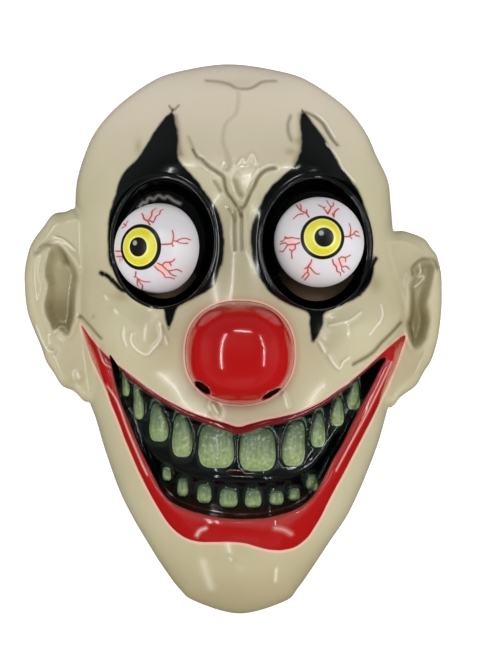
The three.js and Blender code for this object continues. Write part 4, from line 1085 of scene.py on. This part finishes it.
def makeShellMaterial():
    c = {name: ink(*value) for name, value in shellPaint.items() if isinstance(value, tuple)}
    material, tree, shader = newMaterial("maskShell")
    clouds = grouped(tree, sprayClouds, Broad=1.3, Fine=0.2)
    place = placeOn(tree)
    level = put(tree, "ShaderNodeSeparateXYZ", {0: place}).outputs[1]
    lips, noseDepth = mark(tree, "lips"), mark(tree, "nose")
    tooth, toothUp = mark(tree, "tooth"), mark(tree, "toothUp")
    redLips, redNose = edge(tree, lips, 0.1), edge(tree, noseDepth, -0.5)
    inMouth, onTooth = edge(tree, mark(tree, "pocket"), -0.2), edge(tree, tooth, 0.05, 0.25, 0.15)
    black = maths(tree, "MAXIMUM", edge(tree, mark(tree, "paint"), -0.1, 1.5, 1.0),
                  edge(tree, mark(tree, "socket"), -1.2, 0.6))

    colour = skinColour(tree, c, clouds, level)
    colour = mixed(tree, ramp(tree, noseDepth, -4.5, -0.6, 0, 0.35), colour, c["halo"])
    colour = mixed(tree, edge(tree, noseDepth, -1.3), colour, c["outline"])
    colour = mixed(tree, edge(tree, lips, -1.1), colour, c["outline"])
    colour = mixed(tree, redLips, colour, lipColour(tree, c, clouds))
    colour = mixed(tree, redNose, colour, mixed(tree, mark(tree, "noseTop"), c["nose"], c["noseDull"]))
    gums = gumColour(tree, c, level, tooth, toothUp)
    teeth = toothColour(tree, c, place, tooth, toothUp)
    colour = mixed(tree, inMouth, colour, mixed(tree, onTooth, gums, teeth))
    colour = mixed(tree, black, colour, c["black"])
    colour = mixed(tree, mark(tree, "notch"), colour, c["notch"])
    # Painted highlights along the raised lines.
    colour = mixed(tree, mark(tree, "glint"), colour, c["glint"])
    tree.links.new(colour, shader.inputs["Base Color"])

    rough = blended(tree, clouds, shellPaint["rough"] - 0.05, shellPaint["rough"] + 0.06)
    for painted in (redLips, redNose):
        rough = blended(tree, painted, rough, shellPaint["roughRed"])
    inner = blended(tree, onTooth, shellPaint["roughBlack"], shellPaint["roughTooth"])
    rough = blended(tree, inMouth, rough, inner)
    rough = blended(tree, black, rough, shellPaint["roughBlack"])
    fine = grouped(tree, sprayClouds, Broad_Scale=160, Fine_Scale=700, Broad=1.0, Fine=0.8)
    rough = blended(tree, maths(tree, "MULTIPLY", fine, 0.12), rough, 0.6)
    tree.links.new(rough, shader.inputs["Roughness"])
    addGrain(tree, shader, shellPaint["bump"], 0.002, Ripple_Scale=110, Pore_Scale=1300, Pore=0.08)
    shader.inputs["IOR"].default_value = 1.48
    shader.inputs["Coat Weight"].default_value = shellPaint["coat"]
    shader.inputs["Coat Roughness"].default_value = 0.08
    return material


backPaint = {"plain": (74, 60, 41), "cloudy": (50, 40, 27), "rough": (0.55, 0.7), "bump": 0.25}


def makeBackMaterial():
    material, tree, shader = newMaterial("maskBack")
    clouds = grouped(tree, sprayClouds, Broad_Scale=40, Fine_Scale=500, Broad=1.4, Fine=0.6)
    colour = mixed(tree, clouds, ink(*backPaint["plain"]), ink(*backPaint["cloudy"]))
    tree.links.new(colour, shader.inputs["Base Color"])
    tree.links.new(blended(tree, clouds, *backPaint["rough"]), shader.inputs["Roughness"])
    addGrain(tree, shader, backPaint["bump"], 0.0008, Ripple_Scale=220, Pore_Scale=1500, Pore=0.5)
    return material


eyePaintColours = {
    "white": (206, 202, 200), "whiteCool": (194, 194, 202), "flush": (226, 168, 162), "vein": (142, 44, 52),
    "black": (8, 8, 9), "yellow": (208, 202, 36), "yellowDeep": (196, 186, 28), "pale": (222, 219, 140),
    "spark": (150, 152, 156), "pupilSize": 4.4, "veinWide": 0.36, "rough": 0.3, "bump": 0.02,
}


def makeEyeMaterial():
    p = eyePaintColours
    c = {name: ink(*value) for name, value in p.items() if isinstance(value, tuple)}
    material, tree, shader = newMaterial("eyeballPrint")
    clouds = grouped(tree, sprayClouds, Broad_Scale=60, Fine_Scale=800, Broad=1.4, Fine=0.3)
    colour = mixed(tree, clouds, c["white"], c["whiteCool"])
    colour = mixed(tree, maths(tree, "MULTIPLY", mark(tree, "flush"), 0.95), colour, c["flush"])
    vein = maths(tree, "SUBTRACT", p["veinWide"], mark(tree, "vein"))
    colour = mixed(tree, maths(tree, "MULTIPLY", edge(tree, vein, 0.0, 0.3, 0.35), 0.92), colour, c["vein"])
    iris, pupil, spark = mark(tree, "iris"), mark(tree, "pupil"), mark(tree, "spark")
    inside = maths(tree, "SUBTRACT", mark(tree, "irisSize"), iris)
    colour = mixed(tree, edge(tree, inside, 0.0, 0.3, 0.1), colour, c["black"])
    yellow = mixed(tree, clouds, c["yellow"], c["yellowDeep"])
    inYellow = maths(tree, "SUBTRACT", mark(tree, "yellowSize"), iris)
    yellow = mixed(tree, ramp(tree, inYellow, 0.2, 1.0, 0.7, 0.0), yellow, c["pale"])
    yellow = mixed(tree, ramp(tree, pupil, 6.0, p["pupilSize"], 0, 0.85), yellow, c["pale"])
    colour = mixed(tree, edge(tree, inYellow, 0.0, 0.35, 0.15), colour, yellow)
    dark = maths(tree, "SUBTRACT", p["pupilSize"], pupil)
    colour = mixed(tree, edge(tree, dark, 0.0, 0.35, 0.1), colour, c["black"])
    colour = mixed(tree, ramp(tree, spark, 1.4, 0.8, 0, 0.9), colour, c["spark"])
    tree.links.new(colour, shader.inputs["Base Color"])
    tree.links.new(blended(tree, clouds, p["rough"] - 0.03, p["rough"] + 0.05), shader.inputs["Roughness"])
    addGrain(tree, shader, p["bump"], 0.002, Ripple_Scale=140, Pore_Scale=1500, Pore=0.05)
    return material


mountPaint = {"plain": (20, 19, 18), "cloudy": (38, 35, 33), "rough": (0.42, 0.6), "bump": 0.2}


def makeMountMaterial():
    material, tree, shader = newMaterial("blackMoulded")
    clouds = grouped(tree, sprayClouds, Broad_Scale=120, Fine_Scale=900, Broad=1.2, Fine=0.8)
    colour = mixed(tree, clouds, ink(*mountPaint["plain"]), ink(*mountPaint["cloudy"]))
    tree.links.new(colour, shader.inputs["Base Color"])
    tree.links.new(blended(tree, clouds, *mountPaint["rough"]), shader.inputs["Roughness"])
    addGrain(tree, shader, mountPaint["bump"], 0.0005, Ripple_Scale=300, Pore_Scale=2200, Pore=0.6)
    return material


backMaterial = makeBackMaterial()
shell = makeShell(makeShellMaterial(), backMaterial)
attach(shell, "root")
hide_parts("face_shell")
print("shell placed")

eyeMaterial = makeEyeMaterial()
for side in ("left", "right"):
    ball = makeEyeball(side, eyeMaterial)
    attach(ball, "root")
    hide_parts("eyeball_" + side)
print("eyeballs placed")

mountMaterial = makeMountMaterial()
for side in ("left", "right"):
    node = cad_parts["eye_mount_" + side]
    for materialSlot in node.material_slots:
        materialSlot.material = mountMaterial
print("mounts finished")

# What can be changed round the mask: metres, watts and screen colours.
studio = {
    "floor": (238, 238, 236), "floorCloudy": (232, 232, 230), "floorSize": 9.0, "floorLevel": -0.0006,
    # The brown under the mask is a painted shade colour, seen through the eye slots.
    "floorGlow": 0.5, "underMaskShade": (236, 204, 166),
    "darkSpot": {"at": (0.003, 0.02), "half": (0.066, 0.07)},
    "world": (246, 247, 250), "zenith": 0.06, "horizon": 0.22,
    "lights": {
        "overhead": {"at": (0.05, 0.5, 1.4), "size": (0.9, 0.9), "watts": 13.5, "glossy": False},
        "low": {"at": (0.1, -1.2, 0.7), "size": (0.8, 0.5), "watts": 12, "glossy": False},
        "sideLeft": {"at": (-1.2, 0.1, 0.5), "size": (0.8, 0.8), "watts": 9, "glossy": False},
        "sideRight": {"at": (1.2, 0.1, 0.5), "size": (0.8, 0.8), "watts": 9, "glossy": False},
        "stripLeft": {"at": (-0.42, 0.05, 0.95), "size": (1.1, 0.03), "watts": 4, "diffuse": False},
        "stripRight": {"at": (0.76, 0.1, 0.95), "size": (1.1, 0.03), "watts": 4, "diffuse": False},
        "stripTop": {"at": (0.1, 0.74, 0.95), "size": (0.42, 0.03), "watts": 1.8, "diffuse": False},
    },
    "camera": {"at": (0.00712, 0.00664, 1.2), "viewHeight": 0.308},
}


def makeFloor():
    count, half = 24, studio["floorSize"] / 2
    steps = np.linspace(-half, half, count + 1)
    points = np.array([(x, y, studio["floorLevel"]) for y in steps for x in steps]) / mm
    faces = np.array([(r * (count + 1) + c, r * (count + 1) + c + 1, (r + 1) * (count + 1) + c + 1,
                       (r + 1) * (count + 1) + c) for r in range(count) for c in range(count)])
    material, tree, shader = newMaterial("paleTable")
    clouds = grouped(tree, sprayClouds, Broad_Scale=3, Fine_Scale=60, Broad=0.5, Fine=0.1)
    bright = mixed(tree, clouds, ink(*studio["floor"]), ink(*studio["floorCloudy"]))
    # Under the mask the table is in the dark and tinted brown, a painted shade seen through the eye slots;
    # round it the table glows a little.
    spot = studio["darkSpot"]
    away = put(tree, "ShaderNodeVectorMath", {0: placeOn(tree), 1: (*spot["at"], 0)},
               operation="SUBTRACT").outputs[0]
    away = put(tree, "ShaderNodeVectorMath", {0: away, 1: (1 / spot["half"][0], 1 / spot["half"][1], 0)},
               operation="MULTIPLY").outputs[0]
    away = put(tree, "ShaderNodeVectorMath", {0: away}, operation="LENGTH").outputs["Value"]
    away = ramp(tree, away, 0.85, 1.0)
    tree.links.new(mixed(tree, away, ink(*studio["underMaskShade"]), bright), shader.inputs["Base Color"])
    tree.links.new(mixed(tree, away, ink(0, 0, 0), bright), shader.inputs["Emission Color"])
    shader.inputs["Emission Strength"].default_value = studio["floorGlow"]
    shader.inputs["Roughness"].default_value = 0.7
    return addMesh("floor", points, faces, {}, [material])


floor = makeFloor()
floor.visible_glossy = False

for name, setting in studio["lights"].items():
    light = bpy.data.lights.new(name, "AREA")
    light.shape = "RECTANGLE"
    light.size, light.size_y = setting["size"]
    light.energy = setting["watts"]
    lamp = bpy.data.objects.new(name, light)
    lamp.location = setting["at"]
    lamp.visible_glossy, lamp.visible_diffuse = setting.get("glossy", True), setting.get("diffuse", True)
    lamp.rotation_euler = (Vector((0, 0, 0.04)) - lamp.location).to_track_quat("-Z", "Y").to_euler()
    bpy.context.collection.objects.link(lamp)

world = bpy.data.worlds.new("paleStudio")
bpy.context.scene.world = world
world.use_nodes = True
sky = world.node_tree
background = sky.nodes["Background"]
background.inputs[0].default_value = ink(*studio["world"])
way = put(sky, "ShaderNodeTexCoord").outputs["Generated"]
height = put(sky, "ShaderNodeSeparateXYZ", {0: way}).outputs[2]
upper = ramp(sky, height, 0.1, 0.95, studio["horizon"], studio["zenith"])
sky.links.new(maths(sky, "MULTIPLY", upper, ramp(sky, height, -0.1, 0.1)), background.inputs[1])
bpy.context.scene.view_settings.view_transform = "Standard"

camera = bpy.data.objects.new("camera", bpy.data.cameras.new("camera"))
camera.location = studio["camera"]["at"]
camera.data.sensor_fit = "VERTICAL"
camera.data.sensor_height = 36
camera.data.lens = camera.data.sensor_height * camera.location.z / studio["camera"]["viewHeight"]
bpy.context.collection.objects.link(camera)
bpy.context.scene.camera = camera
print("studio set")
